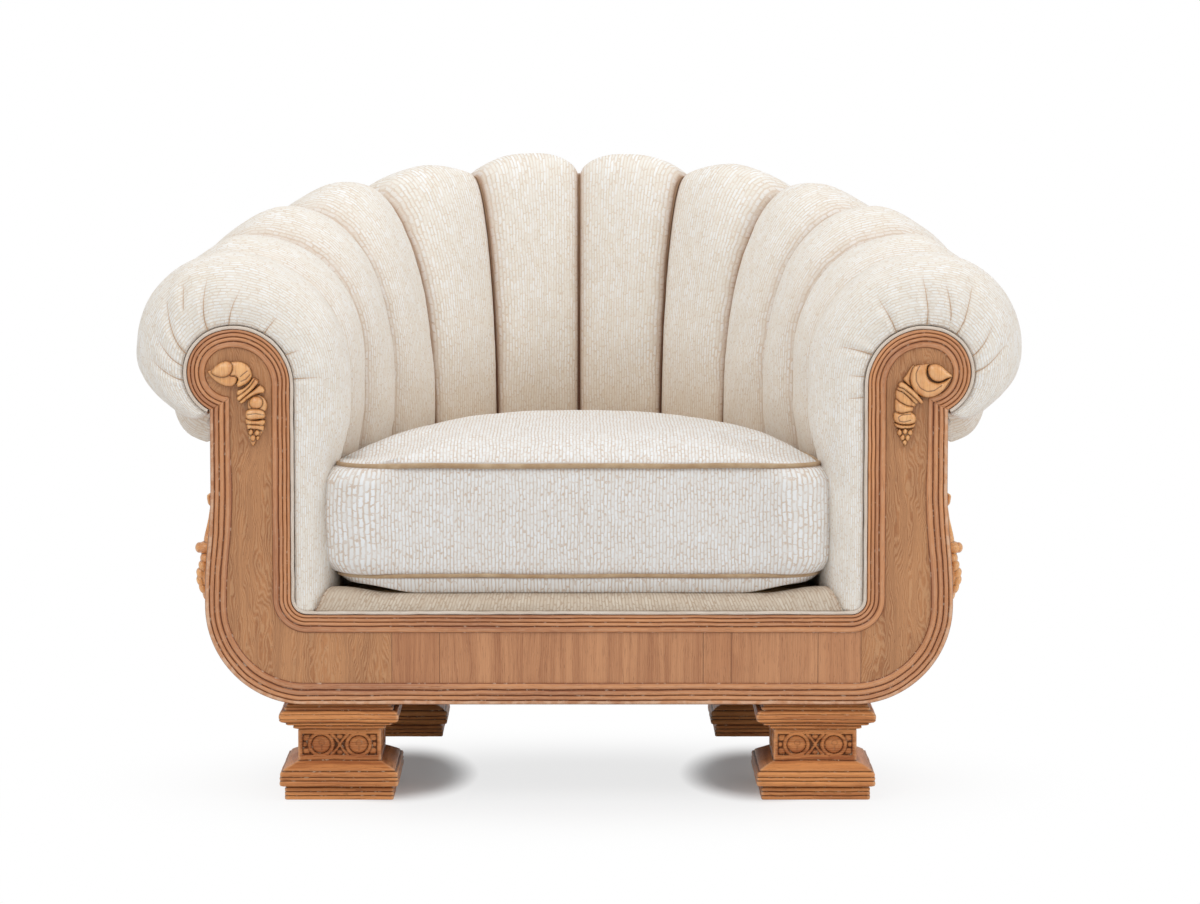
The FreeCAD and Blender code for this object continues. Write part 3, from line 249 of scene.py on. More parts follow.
def tube(skin, path, radius, sides=10, closed=False, normal=None, **marks):
    """A round tube along a path, with its seam map running along it."""
    path = np.asarray(path, float)
    count = len(path)
    if closed:
        way = unit(np.roll(path, -1, 0) - np.roll(path, 1, 0))
    else:
        way = unit(np.gradient(path, axis=0))
    up = np.empty_like(path)
    guide = np.array([0.0, 0.0, 1.0]) if normal is None else np.asarray(normal, float)
    for i in range(count):
        lean = guide - way[i] * way[i].dot(guide)
        if np.linalg.norm(lean) < 1e-3:
            lean = np.cross(way[i], [1.0, 0.0, 0.0])
        up[i] = lean / np.linalg.norm(lean)
        if normal is None:
            guide = up[i]
    side = np.cross(way, up)
    angles = np.linspace(0, 2 * math.pi, sides + 1)
    radius = np.broadcast_to(radius, (count,))[:, None, None]
    ring = np.cos(angles)[None, :, None] * up[:, None] + np.sin(angles)[None, :, None] * side[:, None]
    points = path[:, None] + ring * radius
    along = lengths_along(path)
    if closed:
        points = np.concatenate([points, points[:1]])
        along = np.append(along, along[-1] + np.linalg.norm(path[-1] - path[0]))
        marks = {k: np.append(m, m[:1]) if np.ndim(m) == 1 else m for k, m in marks.items()}
    across = angles * float(radius.mean())
    marks = {k: np.asarray(m)[:, None] if np.ndim(m) == 1 else m for k, m in marks.items()}
    skin.grid(points, across[None], along[:, None], **marks)
    if not closed:
        for end in (0, -1):
            ends = {k: (m[end] if np.ndim(m) else m) for k, m in marks.items()}
            skin.cap(points[end], across[None], along[end], 2, **ends)
    return skin


# Materials

def linear(red, green, blue):
    """A colour given as seen on a screen, from 0 to 255."""
    shares = [value / 255 for value in (red, green, blue)]
    return (*[c / 12.92 if c <= 0.04045 else ((c + 0.055) / 1.055) ** 2.4 for c in shares], 1.0)


class Paint:
    """A node material built step by step."""

    def __init__(self, name):
        self.material = bpy.data.materials.new(name)
        self.material.use_nodes = True
        self.tree = self.material.node_tree
        self.tree.nodes.clear()
        self.out = self.tree.nodes.new("ShaderNodeOutputMaterial")
        self.shader = self.tree.nodes.new("ShaderNodeBsdfPrincipled")
        self.tree.links.new(self.shader.outputs[0], self.out.inputs[0])

    def node(self, kind, outlet=0, settings=None, **inputs):
        node = self.tree.nodes.new(kind)
        for key, value in (settings or {}).items():
            setattr(node, key, value)
        for key, value in inputs.items():
            socket = node.inputs[int(key[1:])] if key[0] == "i" and key[1:].isdigit() else node.inputs[key]
            self.put(socket, value)
        return node.outputs[outlet]

    def put(self, socket, value):
        """Links or sets a socket."""
        if isinstance(value, bpy.types.NodeSocket):
            self.tree.links.new(value, socket)
        else:
            socket.default_value = value

    def math(self, operation, a, b=0.0, clamp=False):
        return self.node("ShaderNodeMath", settings={"operation": operation, "use_clamp": clamp},
                         i0=a, i1=b)

    def vector_math(self, operation, outlet=0, **inputs):
        return self.node("ShaderNodeVectorMath", outlet, {"operation": operation}, **inputs)

    def drift(self, vector, by, reach):
        """The vector moved by a noise, as far as the reach says along each axis."""
        return self.vector_math("MULTIPLY_ADD", i0=by, i1=reach, i2=vector)

    def mix(self, share, a, b, blend="MIX"):
        node = self.tree.nodes.new("ShaderNodeMix")
        node.data_type = "RGBA"
        node.blend_type = blend
        self.put(node.inputs[0], share)
        self.put(node.inputs[6], a)
        self.put(node.inputs[7], b)
        return node.outputs[2]

    def tinted(self, colour, by):
        return self.mix(1.0, colour, by, "MULTIPLY")

    def span(self, value, low, high, to_low=0.0, to_high=1.0):
        """The value carried smoothly from one range to another."""
        node = self.tree.nodes.new("ShaderNodeMapRange")
        node.interpolation_type = "SMOOTHSTEP"
        for socket, item in zip(node.inputs, (value, low, high, to_low, to_high)):
            self.put(socket, item)
        return node.outputs[0]

    def stretch(self, vector, scale):
        return self.node("ShaderNodeMapping", Vector=vector, Scale=scale)

    def turn(self, vector, rotation):
        return self.node("ShaderNodeMapping", Vector=vector, Rotation=rotation)

    def noise(self, vector, scale, detail=2.0, roughness=0.5, distortion=0.0):
        return self.node("ShaderNodeTexNoise", Vector=vector, Scale=scale, Detail=detail,
                         Roughness=roughness, Distortion=distortion)

    def bands(self, vector, direction, scale, distortion, detail=2.0):
        return self.node("ShaderNodeTexWave", 0, {"wave_type": "BANDS", "bands_direction": direction},
                         Vector=vector, Scale=scale, Distortion=distortion, Detail=detail)

    def mark(self, name):
        return self.node("ShaderNodeAttribute", 2, settings={"attribute_name": name})

    def flat_map(self, name):
        return self.node("ShaderNodeUVMap", settings={"uv_map": name})

    def object_map(self):
        return self.node("ShaderNodeTexCoord", 3)

    def bump(self, height, distance, strength=1.0, normal=None):
        inputs = {"Height": height, "Distance": distance, "Strength": strength}
        if normal is not None:
            inputs["Normal"] = normal
        return self.node("ShaderNodeBump", **inputs)

    def finish(self, colour, roughness, normal=None, **constants):
        self.put(self.shader.inputs["Base Color"], colour)
        self.put(self.shader.inputs["Roughness"], roughness)
        if normal is not None:
            self.put(self.shader.inputs["Normal"], normal)
        for key, value in constants.items():
            self.shader.inputs[key.replace("_", " ")].default_value = value
        return self.material


# Width of the tan lines between the cells, as a share of a cell's width.
LINE_SHARE = 0.26


def cell_cloth(name, white, cream, line, cell=(0.0038, 0.0130), strength=0.5):
    """Cloth of long pale cells in staggered rows that follow the channels, with tan lines between."""
    p = Paint(name)
    where = p.flat_map("weave")
    parts = p.node("ShaderNodeSeparateXYZ", Vector=where)
    turned = p.tree.nodes.new("ShaderNodeCombineXYZ")
    p.put(turned.inputs[0], parts.node.outputs[1])
    p.put(turned.inputs[1], parts.node.outputs[0])
    moved = p.drift(turned.outputs[0], p.noise(where, 22.0, 2.0), (0.016, 0.0050, 0.0))
    quick = p.node("ShaderNodeTexNoise", 1, Vector=where, Scale=240.0, Detail=1.0)
    moved = p.drift(moved, quick, (0.0085, 0.0017, 0.0))
    rows = {"offset": 0.43, "offset_frequency": 2, "squash": 0.75, "squash_frequency": 3}
    bricks = p.node("ShaderNodeTexBrick", 0, rows, Vector=moved, Color1=white, Color2=cream, Mortar=line,
                    Scale=1.0, i5=cell[0] * LINE_SHARE, i6=1.0, i7=0.0, i8=cell[1], i9=cell[0])
    gap = bricks.node.outputs[1]
    patch = p.noise(p.stretch(where, (1.0, 0.5, 1.0)), 80.0, 3.0, 0.6)
    lines = p.math("MULTIPLY", gap, p.span(patch, 0.34, 0.60, 0.45, 1.0))
    tint = p.noise(where, 8.0, 2.0)
    colour = p.mix(gap, bricks, p.mix(0.5, white, cream))
    colour = p.mix(p.span(tint, 0.3, 0.7, 0.0, 0.35), colour, cream)
    colour = p.mix(p.math("MULTIPLY", lines, strength), colour, line)
    threads = p.stretch(where, (1250.0, 900.0, 1.0))
    weave = p.math("MULTIPLY", p.bands(threads, "X", 0.5, 1.2), p.bands(threads, "Y", 0.5, 1.2))
    colour = p.mix(p.math("MULTIPLY", weave, 0.06), colour, p.tinted(colour, line))
    # Painted shade: the cloth is warmed and darkened low on the channels, and darkened in seams, creases,
    # pleats and other shaded places.
    colour = p.mix(p.mark("tone"), colour, p.tinted(colour, linear(222, 201, 174)))
    crease = p.math("MULTIPLY", p.mark("crease"), 0.85, True)
    colour = p.mix(crease, colour, p.tinted(colour, linear(196, 152, 114)))
    raised = p.math("SUBTRACT", p.math("MULTIPLY", weave, 0.25), lines)
    normal = p.bump(raised, 0.0006, 0.55)
    normal = p.bump(p.noise(where, 45.0, 3.0, 0.55), 0.003, 0.2, normal)
    return p.finish(colour, 0.86, normal, Sheen_Weight=0.1, Sheen_Roughness=0.5, Specular_IOR_Level=0.25)


def corded_cloth(name, base, dark, wear):
    """Twisted piping: fine slanting ribs, darker in places."""
    p = Paint(name)
    where = p.flat_map("weave")
    ribs = p.bands(p.turn(where, (0.0, 0.0, 0.9)), "Y", 320.0, 1.0, 1.0)
    spots = p.noise(where, 55.0, 3.0, 0.6)
    colour = p.mix(p.span(spots, 0.35, 0.7, 0.0, wear), base, dark)
    colour = p.mix(p.mark("tone"), colour, dark)
    colour = p.mix(p.math("MULTIPLY", ribs, 0.25), colour, p.tinted(colour, dark))
    return p.finish(colour, 0.8, p.bump(ribs, 0.0006, 0.6), Sheen_Weight=0.15, Specular_IOR_Level=0.25)


# Turns that lay the grain of a carried-over piece along x, y or z.
GRAIN_TURNS = {"x": (0.0, 0.0, 0.0), "y": (0.0, 0.0, math.pi / 2), "z": (0.0, math.pi / 2, 0.0)}


def oak(name, light, dark, pore, groove, wax, polish, grain_map="grain", figure=0.5, coat=0.15,
        rings=0.15, shine=0.4):
    """Oak with growth bands, fine pores, grooves darkened by dark wax and painted shade with pale wax in
    places, and edges paled by wear and painted highlight.
    """
    p = Paint(name)
    if grain_map in GRAIN_TURNS:
        where = p.turn(p.object_map(), GRAIN_TURNS[grain_map])
    else:
        where = p.flat_map(grain_map)
    bent = p.noise(p.stretch(where, (2.2, 9.0, 9.0)), 2.4, 3.0, 0.55)
    moved = p.drift(where, bent, (0.0, 0.030 * figure, 0.030 * figure))
    bands = p.noise(p.stretch(moved, (3.0, 150.0, 150.0)), 1.0, 4.0, 0.62, 0.4)
    broad = p.noise(p.stretch(moved, (2.0, 26.0, 26.0)), 1.0, 2.0, 0.5)
    pores = p.noise(p.stretch(moved, (55.0, 1500.0, 1500.0)), 1.0, 2.0, 0.55)
    share = p.math("ADD", p.math("MULTIPLY", bands, 0.65), p.math("MULTIPLY", broad, 0.5))
    colour = p.mix(p.span(share, 0.40, 0.80), light, dark)
    year = p.bands(moved, "Y", 118.0, 2.5)
    colour = p.mix(p.math("MULTIPLY", year, rings), colour, p.mix(0.5, light, wax))
    holes = p.span(pores, 0.585, 0.70)
    colour = p.mix(p.math("MULTIPLY", holes, 0.55), colour, pore)
    # Veneer blocks differ in tone; on the carvings the low parts are darkened as painted shade.
    tone = p.math("MULTIPLY", p.mark("tone"), 0.5)
    colour = p.mix(tone, colour, p.tinted(colour, linear(214, 190, 170)))
    # Pale edges: wear, and painted highlight on ridges, reed tops and raised carving.
    wear_and_highlight = p.span(p.noise(where, 70.0, 3.0, 0.6), 0.35, 0.65, 0.15, 0.9)
    edge_wear_and_highlight = p.math("MULTIPLY", p.mark("edge"), wear_and_highlight)
    colour = p.mix(edge_wear_and_highlight, colour, p.mix(0.5, light, wax))
    # Dark grooves: dark wax, and painted shade in hollows.
    hollow = p.mark("groove")
    waxy = p.math("MULTIPLY", hollow, p.span(p.noise(where, 120.0, 3.0, 0.6), 0.55, 0.7, 0.0, 0.75))
    colour = p.mix(p.math("MULTIPLY", hollow, 0.85, True), colour, groove)
    colour = p.mix(waxy, colour, wax)
    normal = p.bump(p.math("SUBTRACT", 0.0, holes), 0.0003, 0.35)
    normal = p.bump(p.noise(where, 220.0, 2.0), 0.0004, 0.12, normal)
    rough_share = p.math("ADD", p.math("MULTIPLY", bands, 0.12), polish)
    return p.finish(colour, rough_share, normal, Coat_Weight=coat, Coat_Roughness=0.3,
                    Specular_IOR_Level=shine)


def plain_cloth(name, base, dark, scale=900.0):
    """Plain woven cloth for hidden places, mapped on the object itself."""
    p = Paint(name)
    where = p.object_map()
    weave = p.math("MULTIPLY", p.bands(where, "X", scale * 0.35, 2.0), p.bands(where, "Y", scale * 0.35, 2.0))
    patch = p.noise(where, 30.0, 3.0, 0.6)
    colour = p.mix(p.span(patch, 0.35, 0.7, 0.0, 0.6), base, dark)
    colour = p.mix(p.math("MULTIPLY", weave, 0.35), colour, dark)
    return p.finish(colour, 0.9, p.bump(weave, 0.0004, 0.6), Specular_IOR_Level=0.2)


def metal(name, base, dark):
    """Zinc-plated steel, a little scratched."""
    p = Paint(name)
    where = p.object_map()
    patch = p.noise(where, 240.0, 3.0, 0.6)
    scratch = p.noise(p.stretch(where, (40.0, 900.0, 40.0)), 1.0, 2.0)
    colour = p.mix(p.span(patch, 0.4, 0.7), base, dark)
    shine = p.span(scratch, 0.3, 0.7, 0.3, 0.5)
    return p.finish(colour, shine, p.bump(scratch, 0.0002, 0.3), Metallic=1.0)


def hard_plastic(name, base, dark):
    """Dull moulded plastic."""
    p = Paint(name)
    where = p.object_map()
    patch = p.noise(where, 400.0, 2.0, 0.6)
    colour = p.mix(p.span(patch, 0.4, 0.7, 0.0, 0.5), base, dark)
    return p.finish(colour, p.span(patch, 0.3, 0.7, 0.4, 0.6), p.bump(patch, 0.0003, 0.2))


CLOTH = cell_cloth("channel_cloth", linear(248, 248, 246), linear(240, 234, 223), linear(213, 184, 150))
SEAT_CLOTH = cell_cloth("seat_cloth", linear(243, 245, 246), linear(235, 233, 229), linear(200, 170, 140),
                        cell=(0.0044, 0.0135), strength=0.68)
# A darker copy of the channel cloth for the deck lip: painted shade from the cushion over it.
SHADED_DECK_CLOTH = cell_cloth("deck_cloth", linear(220, 208, 191), linear(207, 191, 171), linear(171, 139, 109),
                        cell=(0.0042, 0.0125), strength=0.6)
PLEAT_THREAD = corded_cloth("pleat_thread", linear(228, 188, 146), linear(192, 146, 104), 0.3)
SEAM_CORD = corded_cloth("seam_cord", linear(206, 170, 134), linear(104, 66, 42), 0.25)
CUSHION_PIPING = corded_cloth("cushion_piping", linear(218, 194, 160), linear(168, 126, 84), 0.45)
WHITE_WELT = corded_cloth("white_welt", linear(244, 234, 222), linear(214, 188, 160), 0.35)
RAIL_OAK = oak("rail_oak", linear(212, 152, 106), linear(168, 108, 68), linear(130, 80, 48),
               linear(84, 44, 24), linear(226, 200, 172), 0.30, coat=0.2)
CURLY_OAK = oak("curly_oak", linear(196, 136, 88), linear(158, 102, 62), linear(126, 78, 48),
                linear(84, 44, 24), linear(228, 190, 146), 0.32, figure=2.4, coat=0.15, rings=0.5)
REED_OAK = oak("reed_oak", linear(216, 148, 94), linear(158, 92, 54), linear(122, 66, 38),
               linear(100, 44, 20), linear(234, 212, 188), 0.28, figure=0.3, coat=0.35)
FOOT_OAK = oak("foot_oak", linear(232, 158, 96), linear(156, 86, 46), linear(100, 48, 22),
               linear(50, 20, 9), linear(226, 200, 168), 0.30, figure=0.7, coat=0.03, shine=0.14)
CARVED_OAK = oak("carved_oak", linear(248, 184, 114), linear(206, 130, 72), linear(140, 80, 38),
                 linear(72, 30, 12), linear(244, 212, 170), 0.20, figure=0.3, coat=0.6)
JOINT_GLUE = oak("joint_glue", linear(140, 92, 58), linear(110, 70, 42), linear(90, 56, 34),
                 linear(80, 46, 26), linear(200, 180, 150), 0.5)
BOARD_OAKS = {way: oak("board_oak_" + way, linear(200, 144, 98), linear(160, 106, 66), linear(126, 80, 50),
                       linear(90, 54, 30), linear(214, 190, 164), 0.32, grain_map=way, figure=0.5)
              for way in GRAIN_TURNS}
CARCASS_WOOD = oak("carcass_wood", linear(206, 178, 140), linear(184, 150, 110), linear(150, 116, 80),
                   linear(120, 86, 56), linear(226, 210, 188), 0.55, grain_map="x", figure=0.2, coat=0.0)
JUTE = plain_cloth("jute", linear(176, 146, 104), linear(128, 98, 62))
BURLAP = plain_cloth("burlap_cloth", linear(186, 158, 118), linear(140, 110, 74), 500.0)
WADDING = plain_cloth("wadding", linear(232, 226, 214), linear(206, 196, 180), 260.0)
BLACK_CLOTH = plain_cloth("black_cloth", linear(46, 43, 41), linear(26, 24, 23))
ZINC = metal("zinc", linear(186, 188, 190), linear(130, 132, 134))
GLIDE = hard_plastic("glide_plastic", linear(52, 48, 44), linear(34, 31, 28))


# The tub's surface. A station counts channels from the middle of the back. Stage and share say how
# far up the section a row lies: 0 inside, 1 over the shoulder, 2 round the outer roll.

def spline(a, b, c, d, f):
    """Smooth way from b to c as f goes from 0 to 1, with a and d as their neighbours."""
    return b + f * ((c - a) / 2 + f * ((a - 2.5 * b + 2 * c - d / 2) + f * (1.5 * (b - c) + (d - a) / 2)))


def along(shares, station):
    """Value of a table of seven shares at a station."""
    low = min(int(abs(station)), 5)

    def value(index):
        index = abs(index)
        return 2 * shares[6] - shares[12 - index] if index > 6 else shares[index]

    return spline(*[value(low + step) for step in (-1, 0, 1, 2)], abs(station) - low)


QUARTER_ANGLES = np.linspace(0.0, math.pi / 2, 721)
QUARTER_LENGTHS = lengths_along(np.stack([TUB_HALF * np.sin(QUARTER_ANGLES),
                                          TUB_DEPTH * np.cos(QUARTER_ANGLES)], -1))
CHANNEL_WIDTH = QUARTER_LENGTHS[-1] / 6
HALF_GAP = SEAM_GAP / 2 / CHANNEL_WIDTH


def seam_place(station):
    """Point in plan of a station's seam, and the direction that the section stands in."""
    side = -1 if station < 0 else 1
    a = np.interp(CHANNEL_WIDTH * abs(station), QUARTER_LENGTHS, QUARTER_ANGLES)
    fan = math.radians(90.0 * along(FAN, station))
    point = np.array([side * TUB_HALF * math.sin(a), TUB_DEPTH * math.cos(a), 0.0])
    return point, np.array([side * math.sin(fan), math.cos(fan), 0.0])


def section_sizes(station):
    """Height of the crest, reach and height of the shoulder, radius and turn of the roll."""
    return (blend(CREST_BACK, CREST_ARM, along(CREST, station)),
            blend(REACH_BACK, REACH_ARM, along(REACH, station)),
            blend(SHOULDER_BACK, SHOULDER_ARM, along(SHOULDER, station)),
            ROLL_RADIUS * along(ROLL, station), math.radians(ROLL_TURN * along(ROLL_END, station)))


def shoulder_lengths(reach, shoulder):
    """Angles over a shoulder and the lengths along it."""
    turns = np.linspace(0.0, math.pi / 2, 181)
    return turns, lengths_along(np.stack([reach * (1 - np.cos(turns)), shoulder * np.sin(turns)], -1))


def section(station, stage, share, depth):
    """Points of a station's section as (out, height); depth is below the seam surface."""
    crest, reach, shoulder, roll, end = section_sizes(station)
    stage, share = np.asarray(stage), np.asarray(share, float)
    depth = np.broadcast_to(depth, share.shape)
    turns, table = shoulder_lengths(reach, shoulder)
    a = np.interp(share * table[-1], table, turns)
    slope = unit(np.stack([reach * np.sin(a), shoulder * np.cos(a)], -1))
    out_one = reach * (1 - np.cos(a)) + depth * slope[..., 1]
    z_one = crest - shoulder + shoulder * np.sin(a) - depth * slope[..., 0]
    b = end * share
    out_two = reach + (roll - depth) * np.sin(b)
    z_two = crest - roll + (roll - depth) * np.cos(b)
    z_zero = CHANNEL_FOOT + (crest - shoulder - CHANNEL_FOOT) * share
    out = np.where(stage == 0, depth, np.where(stage == 1, out_one, out_two))
    return out, np.where(stage == 0, z_zero, np.where(stage == 1, z_one, z_two))


def roll_end(station):
    """Where the outer roll of a station ends, as (out, height)."""
    out, z = section(station, np.array(2), np.array(1.0), 0.0)
    return float(out), float(z)


def tub_points(station, stage, share, depth):
    """Points of a station's section in space."""
    out, z = section(station, stage, share, depth)
    point, way = seam_place(station)
    return point + out[..., None] * way + z[..., None] * np.array([0.0, 0.0, 1.0])


def rows_along(station, count, bunch=None):
    """Rows along a station's whole section, even ones or as bunch says: stages, shares, lengths."""
    crest, reach, shoulder, roll, end = section_sizes(station)
    arc = shoulder_lengths(reach, shoulder)[1][-1]
    parts = np.array([crest - shoulder - CHANNEL_FOOT, arc, roll * end])
    ends = np.cumsum(parts)
    wanted = np.linspace(0.0, ends[-1], count) if bunch is None else bunch(ends)
    stage = np.searchsorted(ends[:-1], wanted, side="left")
    start = np.concatenate([[0.0], ends[:-1]])[stage]
    return stage, np.clip((wanted - start) / parts[stage], 0.0, 1.0), wanted


# How far the covers stand out from the seams, at the crest and on the roll, by the distance of
# the channel from the middle of the back.
CROWN_AT = (0.5, 1.5, 2.5, 3.5, 4.5, 5.5)
CREST_RISE = (27.0, 21.0, 19.0, 22.5, 21.0, 25.0)
ROLL_RISE = (20.0, 14.0, 12.5, 13.5, 10.0, 26.0)
# Depth and width of the creases at the seams, on the back and on the arms.
CREASE_DEPTH = (6.0, 10.0)
CREASE_WIDTH = (3.8, 7.0)
# How much deeper the crests dip at the seams, by the distance of the seam from the middle.
NOTCH = (0.0, 0.0, 13.0, 4.0, 0.0, 0.0)
NOTCH_WIDTH = 13.0
# How much lower the roll's end hangs, by the distance of the channel from the middle of the back.
DROOP_AT, DROOP = (0.0, 2.5, 3.5, 4.5), (0.0, 0.0, 14.0, 48.0)
# How far the rounded ends of the channels reach out.
END_ROUND = 14.0
# How dark the painted shade on the cloth is where a channel goes behind the one in front of it, and how far
# it reaches.
FAR_SHADE, FAR_REACH = 0.32, 17.0
# How much painted shade warms and darkens the cloth low down, where less light gets, and the heights between
# which it fades.
LOW_SHADE, SHADE_LOW, SHADE_HIGH = 0.95, 330.0, 590.0


def arm_share(station):
    """0 on the back, 1 on the arms."""
    return float(smooth((abs(station) - 1.5) / 2.0))


def crown(station, stage, share):
    """How far a channel's middle stands out from its seams."""
    high = np.interp(abs(station), CROWN_AT, CREST_RISE)
    roll = np.interp(abs(station), CROWN_AT, ROLL_RISE)
    height = section(station, stage, share, 0.0)[1]
    start = blend(CROWN_START, ARM_CROWN_START, arm_share(station))
    full = blend(CROWN_FULL, ARM_CROWN_FULL, arm_share(station))
    grown = blend(CROWN_LOW, high, smooth((height - start) / (full - start)))
    rolled = blend(high, roll, smooth(share / 0.2))
    tucked = rolled + (CROWN_TUCK - roll) * smooth(2 * share - 1)
    return np.where(stage == 2, tucked, grown)


def crease_size(station):
    """Depth and width of the crease at a channel's seams."""
    return blend(*CREASE_DEPTH, arm_share(station)), blend(*CREASE_WIDTH, arm_share(station))


def seam_shade(from_seam):
    """How much painted shade darkens the cloth at a distance from a seam."""
    return 0.75 * np.exp(-(from_seam / 2.6) ** 2) + 0.25 * np.exp(-(from_seam / 9.0) ** 2)


def high_share(stage, share):
    """0 up to the middle of the shoulder, 1 at the crest and round the roll."""
    return np.where(stage == 2, 1.0, np.where(stage == 1, smooth((share - 0.5) / 0.5), 0.0))


def seam_spread(count):
    """Shares from -1 to 1 that lie closer together near both ends."""
    t = np.linspace(-1.0, 1.0, count)
    return 0.45 * t + 0.55 * np.sin(t * math.pi / 2)


def flat_grid(across, along):
    """Places on a flat cloth, for noise that goes with the cloth."""
    across, along = np.broadcast_arrays(across, along)
    return np.stack([across, along, np.zeros(across.shape)], -1)


def channel_heights(first, u, stage, share, lengths):
    """How far a channel's cover stands out from the seam surface, row by row and across."""
    middle = first + 0.5
    half_width = CHANNEL_WIDTH / 2
    from_seam = (1 - np.abs(u)) * half_width
    rise = crown(middle, stage, share)
    droop = np.interp(abs(middle), DROOP_AT, DROOP)
    rise = rise + droop * np.where(stage == 2, smooth((share - 0.72) / 0.24), 0.0)
    boxy = np.maximum(1 - np.abs(u) ** 2.3, 0.0) ** 0.8
    pointed = np.maximum(1 - np.abs(u) ** 1.5, 0.0)
    up_there = high_share(stage, share)
    bulge = boxy + (pointed - boxy) * (up_there * smooth((abs(middle) - 0.6) / 1.4))[:, None]
    crease_depth, crease_width = crease_size(middle)
    crease = np.exp(-(from_seam / crease_width) ** 1.2)
    seed = 47 + first
    flat = flat_grid(u * half_width, lengths[:, None])
    wave = rough(flat, 70.0, seed) * 1.6 + rough(flat, 26.0, seed + 1) * 0.5
    pucker = rough(flat * np.array([0.3, 1.0, 1.0]), 13.0, seed + 2) * np.exp(-from_seam / 12.0) * 1.6
    height = rise[:, None] * bulge + wave * bulge + pucker * (1 - crease) - crease_depth * crease
    notch = np.array([NOTCH[abs(first + (1 if x > 0 else 0)) % 6] for x in u])
    return height - up_there[:, None] * notch * np.exp(-(from_seam / NOTCH_WIDTH) ** 1.2)


def channel_cover(number):
    """One channel between two seams, as a closed skin from the seat round the roll."""
    first = number - 7
    rows, back_cols = 190, 7
    middle = first + 0.5
    half_width = CHANNEL_WIDTH / 2
    stage, share, lengths = rows_along(middle, rows)
    u = seam_spread(31)
    stations = middle + u * (0.5 - HALF_GAP)
    height = channel_heights(first, u, stage, share, lengths)
    face = np.stack([tub_points(s, stage, share, -height[:, j]) for j, s in enumerate(stations)], 1)
    back_u = np.linspace(1.0, -1.0, back_cols)
    back = np.stack([tub_points(middle + b * (0.5 - HALF_GAP), stage, share, np.full(rows, PAD))
                     for b in back_u], 1)
    ring = np.concatenate([face, back, face[:, :1]], 1)
    across = np.concatenate([u * half_width, back_u * half_width + 3 * half_width, [5 * half_width]])
    # Painted shade at the seams and, on the arms, beside the channel in front.
    shade = seam_shade((1 - np.abs(u)) * half_width)
    behind = (1 - u * (1 if middle > 0 else -1)) * half_width
    shade = shade + FAR_SHADE * arm_share(middle) * np.exp(-(behind / FAR_REACH) ** 1.4) * (1 - shade)
    dark = np.broadcast_to(np.concatenate([shade, np.zeros(back_cols), [1.0]]), ring.shape[:2])
    # Painted shade: the cloth is warmed and darkened low down, less so on the arms.
    fade = smooth((ring[..., 2] - SHADE_LOW) / (SHADE_HIGH - SHADE_LOW))
    low_shade = (1 - fade) * LOW_SHADE * (1 - 0.5 * arm_share(middle))
    skin = Skin()
    skin.grid(ring, across[None], lengths[:, None], crease=dark, tone=low_shade)
    close_channel(skin, ring, across, lengths, 0.6, 0.2)
    piece = skin.build("channel_%02d_cover" % number, CLOTH)
    return settle(piece, "chair", "upholstery_fabric", "channel_%02d" % number, fill=0.75)


def close_channel(skin, ring, across, lengths, foot_shade, end_shade):
    """Closes a channel flat at its foot and round at the end of its roll, with painted shade on both."""
    skin.cap(ring[0], across[None], lengths[0], crease=foot_shade)
    way = unit(ring[-1].mean(0) - ring[-4].mean(0))
    skin.dome(ring[-1], way, END_ROUND, across[None], lengths[-1], crease=end_shade)


# The arms' front channels wrap round the scroll heads.

def polar(centre, radius, angle, side):
    """Points round a centre, by degrees from the inner side up over the top."""
    a = np.radians(angle)
    return np.stack([centre[0] - side * radius * np.cos(a), centre[1] + radius * np.sin(a)], -1)


def scroll_centres(side):
    """Centres of the large arc and of the outer lobe of a scroll head."""
    lean = math.radians(LOBE_LEAN)
    large = np.array([side * (INNER_HALF + SCROLL_R), SCROLL_Z])
    shift = SCROLL_R - LOBE_R
    return large, large + np.array([side * shift * math.sin(lean), shift * math.cos(lean)])


def notch_angle(side, inset, post_inset):
    """Degrees round the lobe at which it meets the outer edge of the post."""
    small = scroll_centres(side)[1]
    reach = OUTER_HALF - post_inset - abs(small[0])
    return 180.0 + math.degrees(math.asin(math.sqrt(1 - (reach / (LOBE_R - inset)) ** 2)))


def facing_edge(side, stage, share, gap, y):
    """Points at a gap outside the arm facing that belong to rows of the front channel."""
    large, small = scroll_centres(side)
    z_zero = CHANNEL_FOOT + (SCROLL_Z - CHANNEL_FOOT) * share
    zero = np.stack([np.full(share.shape, side * (INNER_HALF - gap)), z_zero], -1)
    one = polar(large, SCROLL_R + gap, MEET * share, side)
    end = notch_angle(side, -gap, -gap)
    two = polar(small, LOBE_R + gap, MEET + (end - MEET) * np.minimum(1.0, share / ROUND_SHARE), side)
    flat = np.where((stage == 0)[:, None], zero, np.where((stage == 1)[:, None], one, two))
    return np.stack([flat[:, 0], np.full(len(flat), float(y)), flat[:, 1]], -1)


